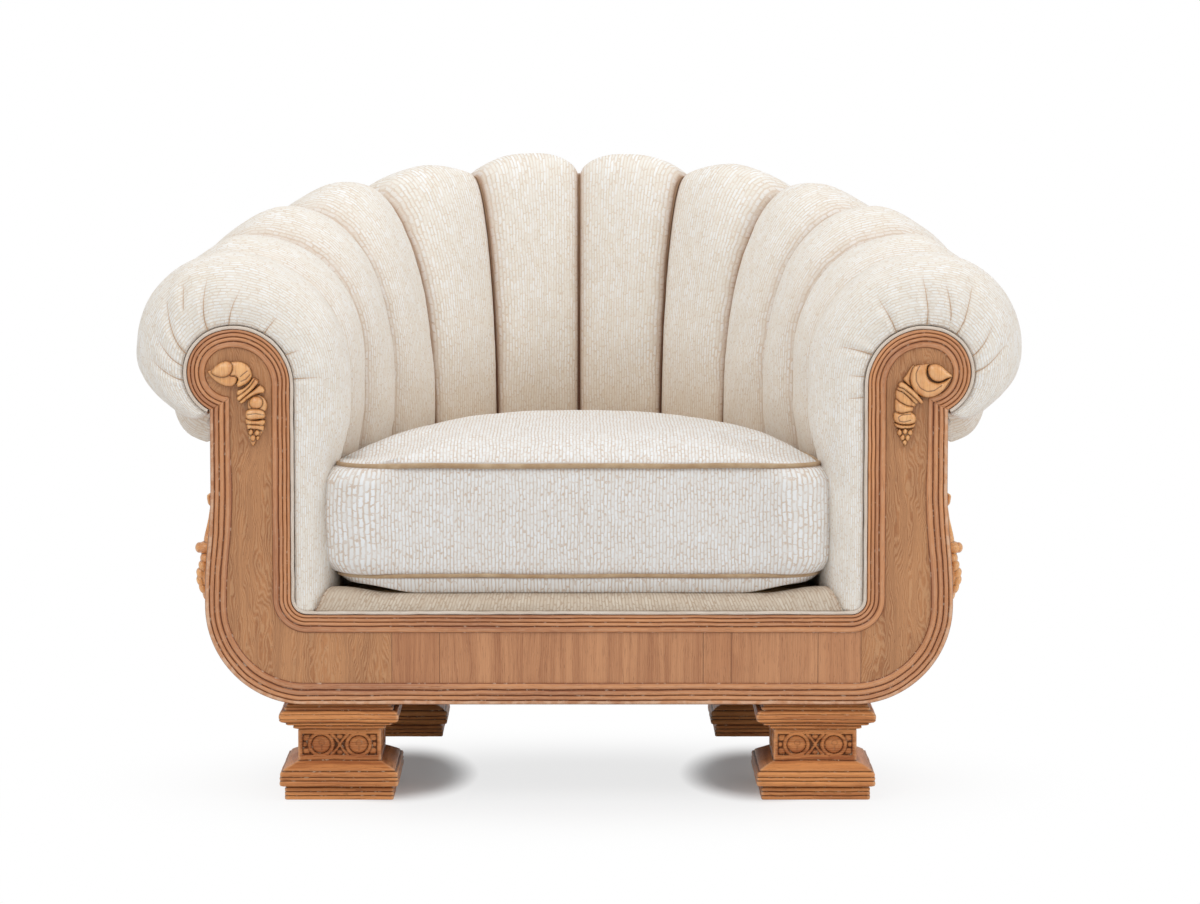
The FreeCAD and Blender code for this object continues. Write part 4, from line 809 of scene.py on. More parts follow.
# Pleats round a scroll head: degrees round the head at the wood and further out, share of the
# way out to the crown where they start and end, depth and half width in millimetres.
PLEAT_REACH = 75.0
PLEATS = {
    -1: ((117, 117, 0.0, 0.75, 6.0, 5.0), (94, 91, 0.0, 0.5, 4.5, 4.5), (157, 147, 0.0, 0.8, 6.5, 5.0),
         (173, 169, 0.0, 0.55, 5.0, 4.5), (59, 59, 0.0, 0.35, 4.0, 4.0), (6, 5, 0.0, 0.45, 4.5, 4.0),
         (136, 134, 0.35, 0.7, 3.5, 4.0), (30, 28, 0.0, 0.25, 2.5, 4.0), (190, 188, 0.0, 0.6, 5.0, 5.0)),
    1: ((62, 68, 0.0, 0.6, 6.0, 4.5), (92, 101, 0.0, 0.75, 6.5, 5.0), (114, 111, 0.1, 0.6, 5.0, 4.5),
        (126, 136, 0.0, 0.8, 6.0, 5.0), (30, 24, 0.0, 0.6, 6.0, 4.5), (-12, -13, 0.0, 0.3, 4.0, 4.0),
        (160, 156, 0.0, 0.5, 5.0, 5.0), (180, 177, 0.0, 0.6, 5.0, 5.0), (8, 7, 0.0, 0.3, 3.0, 4.0)),
}


def pleat_dip(side, around, w):
    """How far the pleats sink the cloth, and how much painted shade they lay in their bottoms."""
    dip, dark = 0.0, 0.0
    for near, far, start, end, depth, width in PLEATS[side]:
        run = np.clip((w - start) / (end - start), 0.0, 1.0)
        off = (around - blend(near, far, run)) * math.radians(1.0) * PLEAT_REACH
        fade = smooth((w - start + 0.06) / 0.08) * (1 - smooth((w - start) / (end - start))) ** 0.7
        wide = width * (0.55 + 0.9 * run)
        dip = dip - 0.7 * depth * fade * np.exp(-(off / wide) ** 2)
        dip = dip + 0.3 * depth * fade * np.exp(-((off - 1.7 * wide) / (1.2 * wide)) ** 2)
        dip = dip + 0.2 * depth * fade * np.exp(-((off + 1.7 * wide) / (1.2 * wide)) ** 2)
        dark = np.maximum(dark, 0.3 * fade * np.exp(-(off / (0.35 * wide)) ** 2))
    return dip, dark


def pleat_threads(skin, side, face, around, to_lip):
    """Thin threads along the bottoms of the pleats."""
    order = np.argsort(to_lip)
    run = np.linspace(0.0, 1.0, 40)
    for near, far, start, end, depth, _ in PLEATS[side]:
        w = np.linspace(start, start + (end - start) * 0.72, len(run))
        turn = near + (far - near) * (w - start) / (end - start)
        rows = np.interp(turn, around, np.arange(len(around)))
        low = np.clip(rows.astype(int), 0, len(around) - 2)
        f = (rows - low)[:, None, None]
        lines = (face[low] * (1 - f) + face[low + 1] * f)[:, order]
        path = np.array([[np.interp(place, to_lip[order], line[:, k]) for k in range(3)]
                         for place, line in zip(w, lines)])
        size = 0.46 * (1 - 0.75 * run ** 2) * (0.6 + 0.08 * depth)
        tube(skin, path, size, 6, tone=0.12 * (1 - 0.6 * run))


# Share of the outer roll that the arm front goes round, how far its cover draws in there, and how far
# its lower end drops to the rail.
FRONT_ROLL_SHARE = 0.83
FRONT_TUCK = 10.0
FRONT_DROP = 9.0


def front_rows(side):
    """Rows of the arm front's cover, closer together where it goes round the scroll head."""
    def bunch(ends):
        last = ends[1] + (ends[2] - ends[1]) * FRONT_ROLL_SHARE
        return np.concatenate([np.linspace(0.0, ends[0] + 10.0, 70, endpoint=False),
                               np.linspace(ends[0] + 10.0, last, 190)])

    return rows_along(side * 5.5, 0, bunch)


def front_columns(side, stations, stage, share, lengths, seed):
    """Columns of the arm front's cover from its seam to its crown."""
    from_seam = (stations - stations[0]) * CHANNEL_WIDTH
    rise = crown(side * ARM_CROWN, stage, share)
    rise = rise - FRONT_TUCK * np.where(stage == 2, smooth((share - 0.60) / 0.25), 0.0)
    bulge = (1 - np.maximum(1 - from_seam / from_seam[-1], 0.0) ** 2.3) ** 0.8
    crease_depth, crease_width = crease_size(5.0)
    crease = np.exp(-(from_seam / crease_width) ** 1.2)
    columns = []
    for j, station in enumerate(stations):
        wave = rough(flat_grid(from_seam[j], lengths), 70.0, seed) * 1.6 * bulge[j]
        height = rise * bulge[j] + wave - crease_depth * crease[j]
        columns.append(tub_points(side * station, stage, share, -height))
    return np.stack(columns, 1)


def front_curve(side, stage, share, columns, w):
    """Columns from the crown forward to the edge of the arm facing, on one smooth curve per row."""
    top = columns[:, -1]
    tangent = unit(top - columns[:, -2])
    lip = facing_edge(side, stage, share, FACING_GAP, REEDING_DEPTH - 1.0)
    outward = unit(facing_edge(side, stage, share, FACING_GAP + 1.0, 0.0)
                   - facing_edge(side, stage, share, FACING_GAP, 0.0))
    span = np.linalg.norm(lip - top, axis=1)[:, None]
    ahead = np.array([0.0, -1.0, 0.0])
    one = top + tangent * span * 0.42
    two = lip + outward * span * 0.34 + ahead * np.clip(span * 0.16, 2.0, 12.0)
    t = w[None, :, None]
    return ((1 - t) ** 3 * top[:, None] + 3 * (1 - t) ** 2 * t * one[:, None]
            + 3 * (1 - t) * t ** 2 * two[:, None] + t ** 3 * lip[:, None])


def front_relief(side, around, lengths, to_lip, seed):
    """How far pleats, gathers and lumps move the arm front's cover, and how much painted shade lies in the
    pleats.
    """
    dip, dark = pleat_dip(side, around[:, None], to_lip[None])
    flat = flat_grid(np.arange(len(to_lip)) * 5.0, lengths[:, None])
    lumps = rough(flat, 38.0, seed + 5) * 1.3 + rough(flat, 16.0, seed + 6) * 0.5
    gathers = np.sin(around[:, None] * 1.9 + 3.0 * rough(flat, 30.0, seed + 7))
    gathers = gathers * np.exp(-to_lip / 0.10) * (around[:, None] > -25.0) * 0.54
    free = np.concatenate([np.zeros(3), np.ones(len(to_lip) - 4), [0.0]])
    return (dip + gathers + lumps * (to_lip < 0.999)) * free, dark


def arm_front_cover(side, threads):
    """The channel at an arm's front, which wraps round the scroll head of the facing."""
    number = 1 if side < 0 else 12
    seed = 70 + number
    start = 5 + HALF_GAP
    stage, share, lengths = front_rows(side)
    rows = len(lengths)
    stations = start + (ARM_CROWN - start) * np.linspace(0.0, 1.0, 17) ** 1.4
    columns = front_columns(side, stations, stage, share, lengths, seed)
    w = np.linspace(0.0, 1.0, 34)[1:] ** 0.85
    face = np.concatenate([columns, front_curve(side, stage, share, columns, w)], 1)
    normal = unit(np.cross(unit(np.gradient(face, axis=0)), unit(np.gradient(face, axis=1))))
    probe = rows // 2, len(stations) - 1
    away = face[probe] - np.array([side * OUTER_HALF, 60.0, SCROLL_Z - 40.0])
    normal = normal if normal[probe] @ away > 0 else -normal
    end = notch_angle(side, -FACING_GAP, -FACING_GAP)
    below = (1 - share) * (SCROLL_Z - CHANNEL_FOOT) / math.radians(1.0) / PLEAT_REACH
    around = np.where(stage == 0, -below, np.where(stage == 1, MEET * share,
                                                   MEET + (end - MEET) * share / ROUND_SHARE))
    to_lip = np.concatenate([np.ones(len(stations)), 1 - w])
    relief, pleat_shade = front_relief(side, around, lengths, to_lip, seed)
    face = face + normal * relief[..., None]
    pleat_threads(threads, side, face, around, to_lip)
    back_lip = facing_edge(side, stage, share, FACING_GAP, REEDING_DEPTH + BOARD_DEPTH + 0.4)
    inner = tub_points(side * start, stage, share, np.full(rows, PAD))
    ring = np.concatenate([face, back_lip[:, None], (back_lip + inner)[:, None] / 2, inner[:, None],
                           face[:, :1]], 1)
    face_across = lengths_along(face[rows // 2])
    across = np.concatenate([face_across, face_across[-1] + np.array([25.0, 90.0, 150.0, 190.0])])
    # Painted shade at the seam, in the pleats and along the edge against the wood.
    dark = np.zeros(ring.shape[:2])
    dark[:, :len(stations)] = seam_shade((stations - start) * CHANNEL_WIDTH)
    lip_shade = np.maximum(pleat_shade * 0.75, 0.25 * np.exp(-(to_lip / 0.03) ** 2))
    dark[:, :len(to_lip)] = np.maximum(dark[:, :len(to_lip)], lip_shade)
    low = np.where(stage == 0, 1 - share, 0.0)[:, None] ** 4 * (1 - smooth((ring[..., 1] - 8.0) / 22.0))
    ring[..., 2] -= FRONT_DROP * low
    skin = Skin()
    skin.grid(ring, across[None], lengths[:, None], crease=dark)
    close_channel(skin, ring, across, lengths, 0.5, 0.15)
    piece = skin.build("channel_%02d_cover" % number, CLOTH)
    return settle(piece, "chair", "upholstery_fabric", "channel_%02d" % number, fill=0.7)


def seam_cords():
    """Thin cords in the seams between the channels, darkest low down in the middle of the back."""
    skin = Skin()
    for station in range(-5, 6):
        stage, share = rows_along(station, 150)[:2]
        depth = 2.2 + 3.2 * arm_share(station) + NOTCH[abs(station)] * high_share(stage, share)
        path = tub_points(station, stage, share, depth)
        inside = np.flatnonzero((path[:, 2] > CHANNEL_FOOT + 4.0) & ((stage < 2) | (share < 0.72)))
        path, level = path[inside], (stage + share)[inside]
        dark = (1 - smooth((abs(station) - 0.5) / 4.0)) * (1 - 0.85 * smooth((level - 1.2) / 1.0))
        tube(skin, path, 1.15, 8, normal=(0.3 * (station or 1), -1.0, 0.2), tone=dark)
    return settle(skin.build("seam_cords", SEAM_CORD), "chair", "piping")


# The front frame: reeded bands, veneered field and welt.

# Points on the lobe, the head, the post, the corner and the rail of a chain.
CHAIN_COUNTS = (46, 60, 30, 14, 60)


def inner_half(side, inset, post_inset):
    """Points from the notch round the scroll head and down to the middle of the rail."""
    large, small = scroll_centres(side)
    end = notch_angle(side, inset, post_inset)
    a, b, c, d, e = CHAIN_COUNTS
    bend = INNER_CORNER + inset
    corner = np.array([side * (INNER_HALF - INNER_CORNER), RAIL_TOP + INNER_CORNER])
    lobe = polar(small, LOBE_R - inset, np.linspace(end, MEET, a), side)
    head = polar(large, SCROLL_R - inset, np.linspace(MEET, 0.0, b), side)
    foot = corner + np.array([side * bend, 0.0])
    post = head[-1] + (foot - head[-1]) * np.linspace(0.0, 1.0, c)[:, None]
    turn = np.radians(np.linspace(0.0, 90.0, d))
    bow = corner + np.stack([side * bend * np.cos(turn), -bend * np.sin(turn)], -1)
    rail = bow[-1] + (np.array([0.0, RAIL_TOP - inset]) - bow[-1]) * np.linspace(0.0, 1.0, e)[:, None]
    return np.concatenate([lobe, head[1:], post[1:], bow[1:], rail[1:]])


def outer_half(side, inset, head_inset):
    """Points from the notch down the outside and round the corner to the middle of the rail."""
    small = scroll_centres(side)[1]
    start = polar(small, LOBE_R - head_inset, notch_angle(side, head_inset, inset), side)
    centre_z = RAIL_BOTTOM + CORNER_RADIUS
    rise = WAIST - centre_z
    sweep = (rise ** 2 + HULL_BULGE ** 2) / (4 * HULL_BULGE)
    tilt = math.asin(rise / 2 / sweep)
    widest = OUTER_HALF + HULL_BULGE
    a, b, c, _, e = CHAIN_COUNTS
    waist = np.array([side * (OUTER_HALF - inset), WAIST])
    post = start + (waist - start) * np.linspace(0.0, 1.0, a)[:, None]
    turn = np.linspace(0.0, tilt, c)
    radius = sweep + inset
    hollow = np.stack([side * (OUTER_HALF + sweep - radius * np.cos(turn)),
                       WAIST - radius * np.sin(turn)], -1)
    turn = np.linspace(tilt, 0.0, c)
    radius = sweep - inset
    swell = np.stack([side * (widest - sweep + radius * np.cos(turn)),
                      centre_z + radius * np.sin(turn)], -1)
    turn = np.radians(np.linspace(0.0, 90.0, b))
    radius = CORNER_RADIUS - inset
    corner = np.stack([side * (widest - CORNER_RADIUS + radius * np.cos(turn)),
                       centre_z - radius * np.sin(turn)], -1)
    end = np.array([0.0, RAIL_BOTTOM + inset])
    rail = corner[-1] + (end - corner[-1]) * np.linspace(0.0, 1.0, e)[:, None]
    return np.concatenate([post, hollow[1:], swell[1:], corner[1:], rail[1:]])


def whole_chain(half, inset, other):
    """A chain from the left notch to the right one."""
    left, right = half(-1, inset, other), half(1, inset, other)
    return np.concatenate([left, right[::-1][1:]])


REED_DEPTH = 3.0


def reed_profile(widths, total):
    """Insets and depths across four rounded reeds, with marks in the grooves and on the edges."""
    edges = np.concatenate([[0.0], np.cumsum(widths)]) / sum(widths) * total
    across, down, groove, edge = [0.0], [REEDING_DEPTH - 0.6], [0.5], [0.0]
    t = np.linspace(-1.0, 1.0, 13)
    for low, high in zip(edges[:-1], edges[1:]):
        across += list(low + (high - low) * (t + 1) / 2)
        down += list(REED_DEPTH * (1 - np.maximum(1 - np.abs(t) ** 2.4, 0.0) ** 0.55))
        groove += list(np.clip((np.abs(t) - 0.60) / 0.32, 0.0, 1.0) ** 1.3)
        edge += list(np.clip(1 - np.abs(t) * 1.8, 0.0, 1.0))
    across.append(total)
    down.append(REEDING_DEPTH - 0.6)
    groove.append(0.5)
    edge.append(0.0)
    return np.array(across), np.array(down), np.array(groove), np.array(edge)


def reeded_band(name, half, width, other_width, reeds, node, pale_edge):
    """A moulding of reeds along a chain, a little uneven as if cut by hand."""
    across, down, groove, edge = reed_profile(reeds, width)
    columns = [whole_chain(half, a, a * other_width / width) for a in across]
    chain = np.stack(columns, 1)
    along_chain = lengths_along(columns[0])
    flat = np.stack([chain[..., 0], np.zeros(chain.shape[:2]), chain[..., 1]], -1)
    wobble = rough(flat, 34.0, 3) * 0.25
    inward = unit(chain[:, -1] - chain[:, 0])[:, None]
    loose = np.clip(np.minimum(across, width - across) / 4.0, 0.0, 1.0)[None, :, None]
    sway = (rough(flat, 30.0, 5) * 0.55 + rough(flat, 11.0, 6) * 0.25)[..., None]
    chain = chain + inward * sway * loose
    face = np.stack([chain[..., 0], np.broadcast_to(down, chain.shape[:2]) + wobble, chain[..., 1]], -1)
    back = face[:, [-1, 0]].copy()
    back[..., 1] = REEDING_DEPTH + 0.05
    ring = np.concatenate([face, back, face[:, :1]], 1)
    wide = np.concatenate([across, [width + 4.0, 2 * width + 4.0, 2 * width + 8.0]])
    # Groove marks darken the grooves with dark wax and painted shade; the pale marks on the reed tops are
    # painted highlight, and the outer band's first reed is painted pale.
    dark = np.concatenate([groove, [0.0, 0.0, 0.5]])
    wear_and_highlight = np.concatenate([edge * 0.35, [0.0, 0.0, 0.0]])
    if pale_edge:
        first = across < width * 0.2
        wear_and_highlight[:len(across)][first] = 0.95 * (1 - groove[first])
    shape = ring.shape[:2]
    skin = Skin()
    skin.grid(ring, along_chain[:, None], wide[None], groove=np.broadcast_to(dark, shape),
              edge=np.broadcast_to(wear_and_highlight, shape))
    skin.cap(ring[0], along_chain[0], wide[None], 2)
    skin.cap(ring[-1], along_chain[-1], wide[None], 2)
    return settle(skin.build(name, REED_OAK, "grain"), "chair", "oak_veneer", node)


# Joints of the veneer from the middle, how dark the blocks between them are, and half a joint's width.
VENEER_JOINTS = (-235.0, -175.0, 156.0, 191.0, 300.0, 354.0)
VENEER_TONES = (0.15, 0.75, 0.3, 0.85, 0.35, 0.7, 0.1)
JOINT_HALF = 0.45


def veneer_field():
    """The flat field in blocks, with dark joints between them."""
    outline = np.concatenate([whole_chain(inner_half, INNER_REEDING, OUTER_REEDING)[:-1],
                              whole_chain(outer_half, OUTER_REEDING, INNER_REEDING)[::-1][:-1]])
    mesh = bpy.data.meshes.new("veneer_field")
    work = bmesh.new()
    work.faces.new([work.verts.new((x, REEDING_DEPTH - VENEER_DEPTH, z)) for x, z in outline])
    cuts = [(j + s * JOINT_HALF, 0, 0) for j in VENEER_JOINTS for s in (-1, 1)]
    cuts += [(x, 0, 0) for x in np.arange(-430.0, 440.0, 20.0)]
    cuts += [(0, 0, z) for z in np.arange(150.37, 600.0, 20.0)]
    for place in cuts:
        bmesh.ops.bisect_plane(work, geom=work.verts[:] + work.edges[:] + work.faces[:], dist=1e-4,
                               plane_co=place, plane_no=(0, 0, 1) if place[2] else (1, 0, 0))
    for face in work.faces:
        x = face.calc_center_median().x
        block = sum(x > j for j in VENEER_JOINTS)
        near = min(abs(x - j) for j in VENEER_JOINTS)
        face.material_index = 1 if near < JOINT_HALF else 2 if block in (0, len(VENEER_JOINTS)) else 0
    for item in bmesh.ops.extrude_face_region(work, geom=work.faces[:])["geom"]:
        if isinstance(item, bmesh.types.BMVert):
            item.co.y = REEDING_DEPTH + 0.02
    bmesh.ops.recalc_face_normals(work, faces=work.faces)
    layer = work.loops.layers.uv.new("grain")
    tone = work.verts.layers.float.new("tone")
    for face in work.faces:
        x = face.calc_center_median().x
        block = sum(x > j for j in VENEER_JOINTS)
        for loop in face.loops:
            co = loop.vert.co
            loop[layer].uv = ((co.z + block * 137.0) * METRE, (co.x + block * 61.0) * METRE)
            loop.vert[tone] = VENEER_TONES[block]
    for vert in work.verts:
        vert.co = Vector((vert.co.x * METRE, vert.co.y * METRE + FRONT_Y, vert.co.z * METRE))
    work.to_mesh(mesh)
    work.free()
    piece = add_object("veneer_field", mesh, RAIL_OAK, JOINT_GLUE, CURLY_OAK)
    return settle(piece, "chair", "oak_veneer", "veneer_panels")


def frame_piping():
    """The pale welt between the cloth and the inner moulding."""
    inset = -WELT_R - 0.2
    chain = whole_chain(inner_half, inset, inset)
    path = np.stack([chain[:, 0], np.full(len(chain), REEDING_DEPTH - WELT_R - 1.4), chain[:, 1]], -1)
    path = resample(path, 900)
    path = path + rough(path, 20.0, 9)[:, None] * np.array([0.25, 0.2, 0.25])
    swell = WELT_R - 0.05 + 0.12 * rough(path, 11.0, 10)
    skin = tube(Skin(), path, swell, 10, normal=(0.0, -1.0, 0.0), tone=0.12 * (1 + rough(path, 60.0, 12)))
    return settle(skin.build("frame_piping", WHITE_WELT), "chair", "welt", "frame_welt")


# The seat cushion.

def cushion_outline(count):
    """Plan outline of the cushion with even steps, and its outward directions."""
    front = CUSHION_FRONT + CUSHION_CORNER
    depth = CUSHION_REAR - front
    small = CUSHION_ROUNDING
    big = (CUSHION_HALF ** 2 + depth ** 2 - 2 * depth * small) / (2 * (CUSHION_HALF - small))
    turn = math.atan2(depth - small, big - CUSHION_HALF)
    angle = np.linspace(math.pi / 2, 0.0, 30)
    bend = np.stack([CUSHION_HALF - CUSHION_CORNER + CUSHION_CORNER * np.cos(angle),
                     front - CUSHION_CORNER * np.sin(angle)], -1)
    angle = np.linspace(0.0, turn, 120)[1:]
    flank = np.stack([CUSHION_HALF - big + big * np.cos(angle), front + big * np.sin(angle)], -1)
    angle = np.linspace(turn, math.pi / 2, 60)[1:]
    rear = np.stack([small * np.cos(angle), CUSHION_REAR - small + small * np.sin(angle)], -1)
    right = np.concatenate([[[0.0, CUSHION_FRONT]], bend, flank, rear])
    left = right[::-1][1:-1] * np.array([-1.0, 1.0])
    path = resample(np.concatenate([right, left, right[:1]]), count + 1)[:-1]
    way = unit(np.roll(path, -1, 0) - np.roll(path, 1, 0))
    return path, np.stack([way[:, 1], -way[:, 0]], -1)


CUSHION_FOOT = DECK_TOP + 0.4
# Share of the cushion's plan that lies flat on the deck, and where its two seams are.
FLAT_SHARE, SEAM_SHARE = 0.95, 0.985
SIDE_SWELL, SEAM_DIP = 5.0, 1.5
# How far the cushion's underside and the lip of the deck rise at the front corners.
CORNER_LIFT, LIP_LIFT = 11.0, 8.0
# Where the front corners begin, across and behind the front, and over what length.
CORNER_X, CORNER_Y, CORNER_X_SPAN, CORNER_Y_SPAN = 215.0, 45.0, 70.0, 75.0
# How far the sides puff out all round, and at the left and right corners; the seams' share of it.
PUFF, PUFF_LEFT, PUFF_RIGHT, SEAM_PUFF = 2.0, 27.0, 22.0, 0.26


def cushion_rows():
    """Rows from the middle of the underside to the middle of the top.

    Each has its share of the plan, height, way out, painted shade at the seam and share of waves.
    """
    rows = [(share, CUSHION_FOOT, 0.0, 0.0, 0.0) for share in np.linspace(0.0, FLAT_SHARE, 22)]
    for t in np.linspace(0.0, 1.0, 12)[1:]:
        out = t ** 0.85
        rows.append((blend(FLAT_SHARE, SEAM_SHARE, out), blend(CUSHION_FOOT, LOWER_SEAM - 3.0, t ** 1.3),
                     2.0 * out * t, 0.9 if t > 0.99 else 0.0, 0.4 * t))
    rows.append((SEAM_SHARE, LOWER_SEAM, -SEAM_DIP, 1.0, 0.0))
    for t in np.linspace(0.0, 1.0, 32)[1:-1]:
        swell = math.sin(math.pi * t) ** 0.6
        rows.append((SEAM_SHARE, blend(LOWER_SEAM, UPPER_SEAM, t), SIDE_SWELL * swell - 1.0,
                     0.8 * math.exp(-min(t, 1 - t) / 0.02), swell))
    rows.append((SEAM_SHARE, UPPER_SEAM, -SEAM_DIP, 1.0, 0.0))
    for t in np.linspace(1.0, 0.0, 46)[1:]:
        x = t ** 0.8
        up = 1 - x ** 6.5
        rows.append((SEAM_SHARE * x, blend(UPPER_SEAM, DOME_TOP + 1.5, up),
                     1.5 * math.exp(-(1 - x) / 0.02), 0.7 * math.exp(-(1 - x) / 0.008),
                     smooth(up * 1.5)))
    return np.array(rows).T


def cushion_waves(points, share, z, wave, outward):
    """Soft unevenness of the cushion, stronger along its seams."""
    soft = rough(points, 95.0, 21) * 1.8 + rough(points, 34.0, 22) * 0.55
    to_seam = np.minimum(np.abs(points[..., 2] - UPPER_SEAM), np.abs(points[..., 2] - LOWER_SEAM))
    rim = rough(points * np.array([1.0, 1.0, 0.35]), 15.0, 23) * np.exp(-to_seam / 14.0) * 0.9
    lift = wave[:, None] * (soft + rim) * (points[..., 2] > LOWER_SEAM - 15.0)
    on_top = ((z > UPPER_SEAM) & (share < 0.95))[:, None, None]
    sideways = np.concatenate([outward, np.zeros((len(outward), 1))], -1)[None]
    return np.where(on_top, np.array([0.0, 0.0, 1.0]), sideways) * lift[..., None]


def seat_cushion():
    """The loose cushion with its two pipings: a domed top and a front that closes at its corners."""
    count = 420
    plan, outward = cushion_outline(count)
    middle = np.array([0.0, (CUSHION_FRONT + CUSHION_REAR) / 2])
    front_corner = (smooth((np.abs(plan[:, 0]) - CORNER_X) / CORNER_X_SPAN)
                    * (1 - smooth((plan[:, 1] - CORNER_Y) / CORNER_Y_SPAN)))
    puff = PUFF + np.where(plan[:, 0] < 0, PUFF_LEFT, PUFF_RIGHT) * front_corner
    share, z, out, seam, wave = cushion_rows()
    under = z < LOWER_SEAM - 0.5
    spread = np.clip(wave + 0.4, 0.0, 1.0) * (1.0 - 0.35 * (seam > 0.99))
    spread = spread * ((z > LOWER_SEAM - 8.0) & (share > 0.9))
    spread = np.where(under, SEAM_PUFF * smooth((share - 0.5) / 0.4), spread)
    xy = middle + (plan[None] - middle) * share[:, None, None]
    xy = xy + outward[None] * (out[:, None] + puff[None] * spread[:, None])[..., None]
    points = np.concatenate([xy, np.broadcast_to(z[:, None, None], (len(z), count, 1))], -1)
    tilt = CORNER_LIFT * smooth((share - 0.5) / 0.42) * under
    tilt = tilt * (LOWER_SEAM - z) / (LOWER_SEAM - CUSHION_FOOT)
    points[..., 2] += tilt[:, None] * front_corner[None]
    sink = 0.8 * smooth((share - 0.5) / 0.45) * (z > UPPER_SEAM)
    points[..., 2] -= (points[..., 2] - UPPER_SEAM) * sink[:, None] * front_corner[None]
    points = points + cushion_waves(points, share, z, wave, outward)
    closed = np.concatenate([points, points[:, :1]], 1)
    perimeter = lengths_along(np.concatenate([plan, plan[:1]]))
    level = ((z > UPPER_SEAM + 0.5) | (z < LOWER_SEAM - 2.5))[:, None]
    skin = Skin()
    # Painted shade along the two seams.
    skin.grid(closed, np.where(level, closed[..., 0], perimeter[None]),
              np.where(level, closed[..., 1], closed[..., 2] + 700.0), crease=seam[:, None] * 0.55)
    settle(skin.build("cushion_cover", SEAT_CLOTH, merge=0.02), "cushion", "upholstery_fabric",
           "seat_cushion", fill=0.75)
    for name, node, height, radius in (("piping_top", "cushion_piping_upper", UPPER_SEAM, 3.3),
                                       ("piping_bottom", "cushion_piping_lower", LOWER_SEAM, 2.5)):
        line = middle + (plan - middle) * SEAM_SHARE
        line = line + outward * (radius - 0.6 + puff * SEAM_PUFF)[:, None]
        path = np.concatenate([line, np.full((count, 1), height)], -1)
        path[:, 2] += rough(path, 60.0, 31) * 0.8
        swell = radius * (1 + 0.05 * rough(path, 9.0, 33))
        ring = tube(Skin(), path, swell, 10, closed=True, normal=(0.0, 0.0, 1.0),
                    tone=0.25 * (1 + rough(path, 40.0, 34)))
        settle(ring.build(name, CUSHION_PIPING), "cushion", "piping", node)


# The deck under the cushion: a padded lip over the front rail, a cloth and its pad.

DECK_FRONT = REEDING_DEPTH + BOARD_DEPTH + 0.2
# How far the deck's cloth stays inside the tub, and the heights of the pad under it.
DECK_INSET, PAD_LOW, PAD_HIGH = 11.15, 219.6, 249.4
# Half widths of the lip at its foot and top, and the angle where its round front begins.
LIP_LOW, LIP_HIGH, LIP_START = 331.0, 311.0, -0.35
LIP_NOSE, LIP_OUT, LIP_CORNER = 8.0, 5.0, 232.0


def deck_border():
    """The padded lip between the front rail and the cushion."""
    t = np.linspace(0.0, 1.0, 24)
    nose, back = REEDING_DEPTH + 0.4, REEDING_DEPTH + BOARD_DEPTH - 0.4
    low = RAIL_TOP + 2 * WELT_R + 0.4
    arc = np.linspace(LIP_START, math.pi / 2, 24)
    y = (nose + LIP_NOSE - (LIP_NOSE + LIP_OUT) * np.cos(arc) ** 0.8
         + np.maximum(np.sin(arc), 0) ** 3 * (back - nose - LIP_NOSE))
    z = blend(low, DECK_TOP, (np.sin(arc) - math.sin(LIP_START)) / (1 - math.sin(LIP_START)))
    s = np.linspace(-1.0, 1.0, 200)
    x = s[None] * blend(LIP_LOW, LIP_HIGH, t)[:, None]
    flat = np.stack([x, np.broadcast_to(y[:, None], x.shape), np.broadcast_to(z[:, None], x.shape)], -1)
    sideways = np.array([1.0, 0.2, 0.2])
    flat[..., 1] -= rough(flat * sideways, 55.0, 41) * 1.1 * np.sin(math.pi * t)[:, None]
    flat[..., 2] += rough(flat * sideways, 80.0, 42) * 0.7 * t[:, None]
    lifted = smooth((np.abs(x) - LIP_CORNER) / CORNER_X_SPAN)
    flat[..., 2] += LIP_LIFT * lifted * smooth(t * 1.4)[:, None]
    bottom = flat[:1].copy()
    bottom[..., 1] = back
    ring = np.concatenate([flat, bottom, flat[:1]], 0)
    heights = np.concatenate([z, [low - 20.0, low - 40.0]])
    skin = Skin()
    # Painted shade at both ends, where the lip meets the arms.
    skin.grid(ring, x[0][None], heights[:, None], crease=0.8 * np.exp(-(1 - np.abs(s)) * 320.0 / 3.0)[None])
    for end in (0, -1):
        skin.cap(ring[:, end], 3.0, heights[None], 2)
    settle(skin.build("deck_border", SHADED_DECK_CLOTH), "chair", "upholstery_fabric", "deck_lip", fill=0.5)


def tub_plan(offset):
    """Points of the tub's plan at an offset, from the left front round the back to the right."""
    places = [seam_place(station) for station in np.linspace(-6.0, 6.0, 289)]
    path = np.array([point + way * offset for point, way in places])
    path = path[path[:, 1] >= DECK_FRONT]
    left, right = path[0].copy(), path[-1].copy()
    left[1] = right[1] = DECK_FRONT
    return np.concatenate([[left], path, [right]])


def slab(name, offset, low, high, material, slot, node, fill):
    """A flat pad or cloth that follows the tub's plan."""
    plan = tub_plan(offset)
    middle = np.array([0.0, (DECK_FRONT + plan[:, 1].max()) / 2, 0.0])
    shares = np.concatenate([np.linspace(0.0, 0.97, 14), [1.0, 1.0], np.linspace(0.97, 0.0, 10)])
    levels = np.concatenate([np.full(14, high), [blend(high, low, 0.25), blend(low, high, 0.25)],
                             np.full(10, low)])
    rows = middle + (plan[None] - middle) * shares[:, None, None]
    rows[..., 2] = levels[:, None]
    rows = np.concatenate([rows, rows[:, :1]], 1)
    skin = Skin()
    skin.grid(rows, rows[..., 0], rows[..., 1] + rows[..., 2])
    return settle(skin.build(name, material, merge=0.02), "chair", slot, node, fill=fill)


# The outside covers, from the wooden band up to the end of the roll.

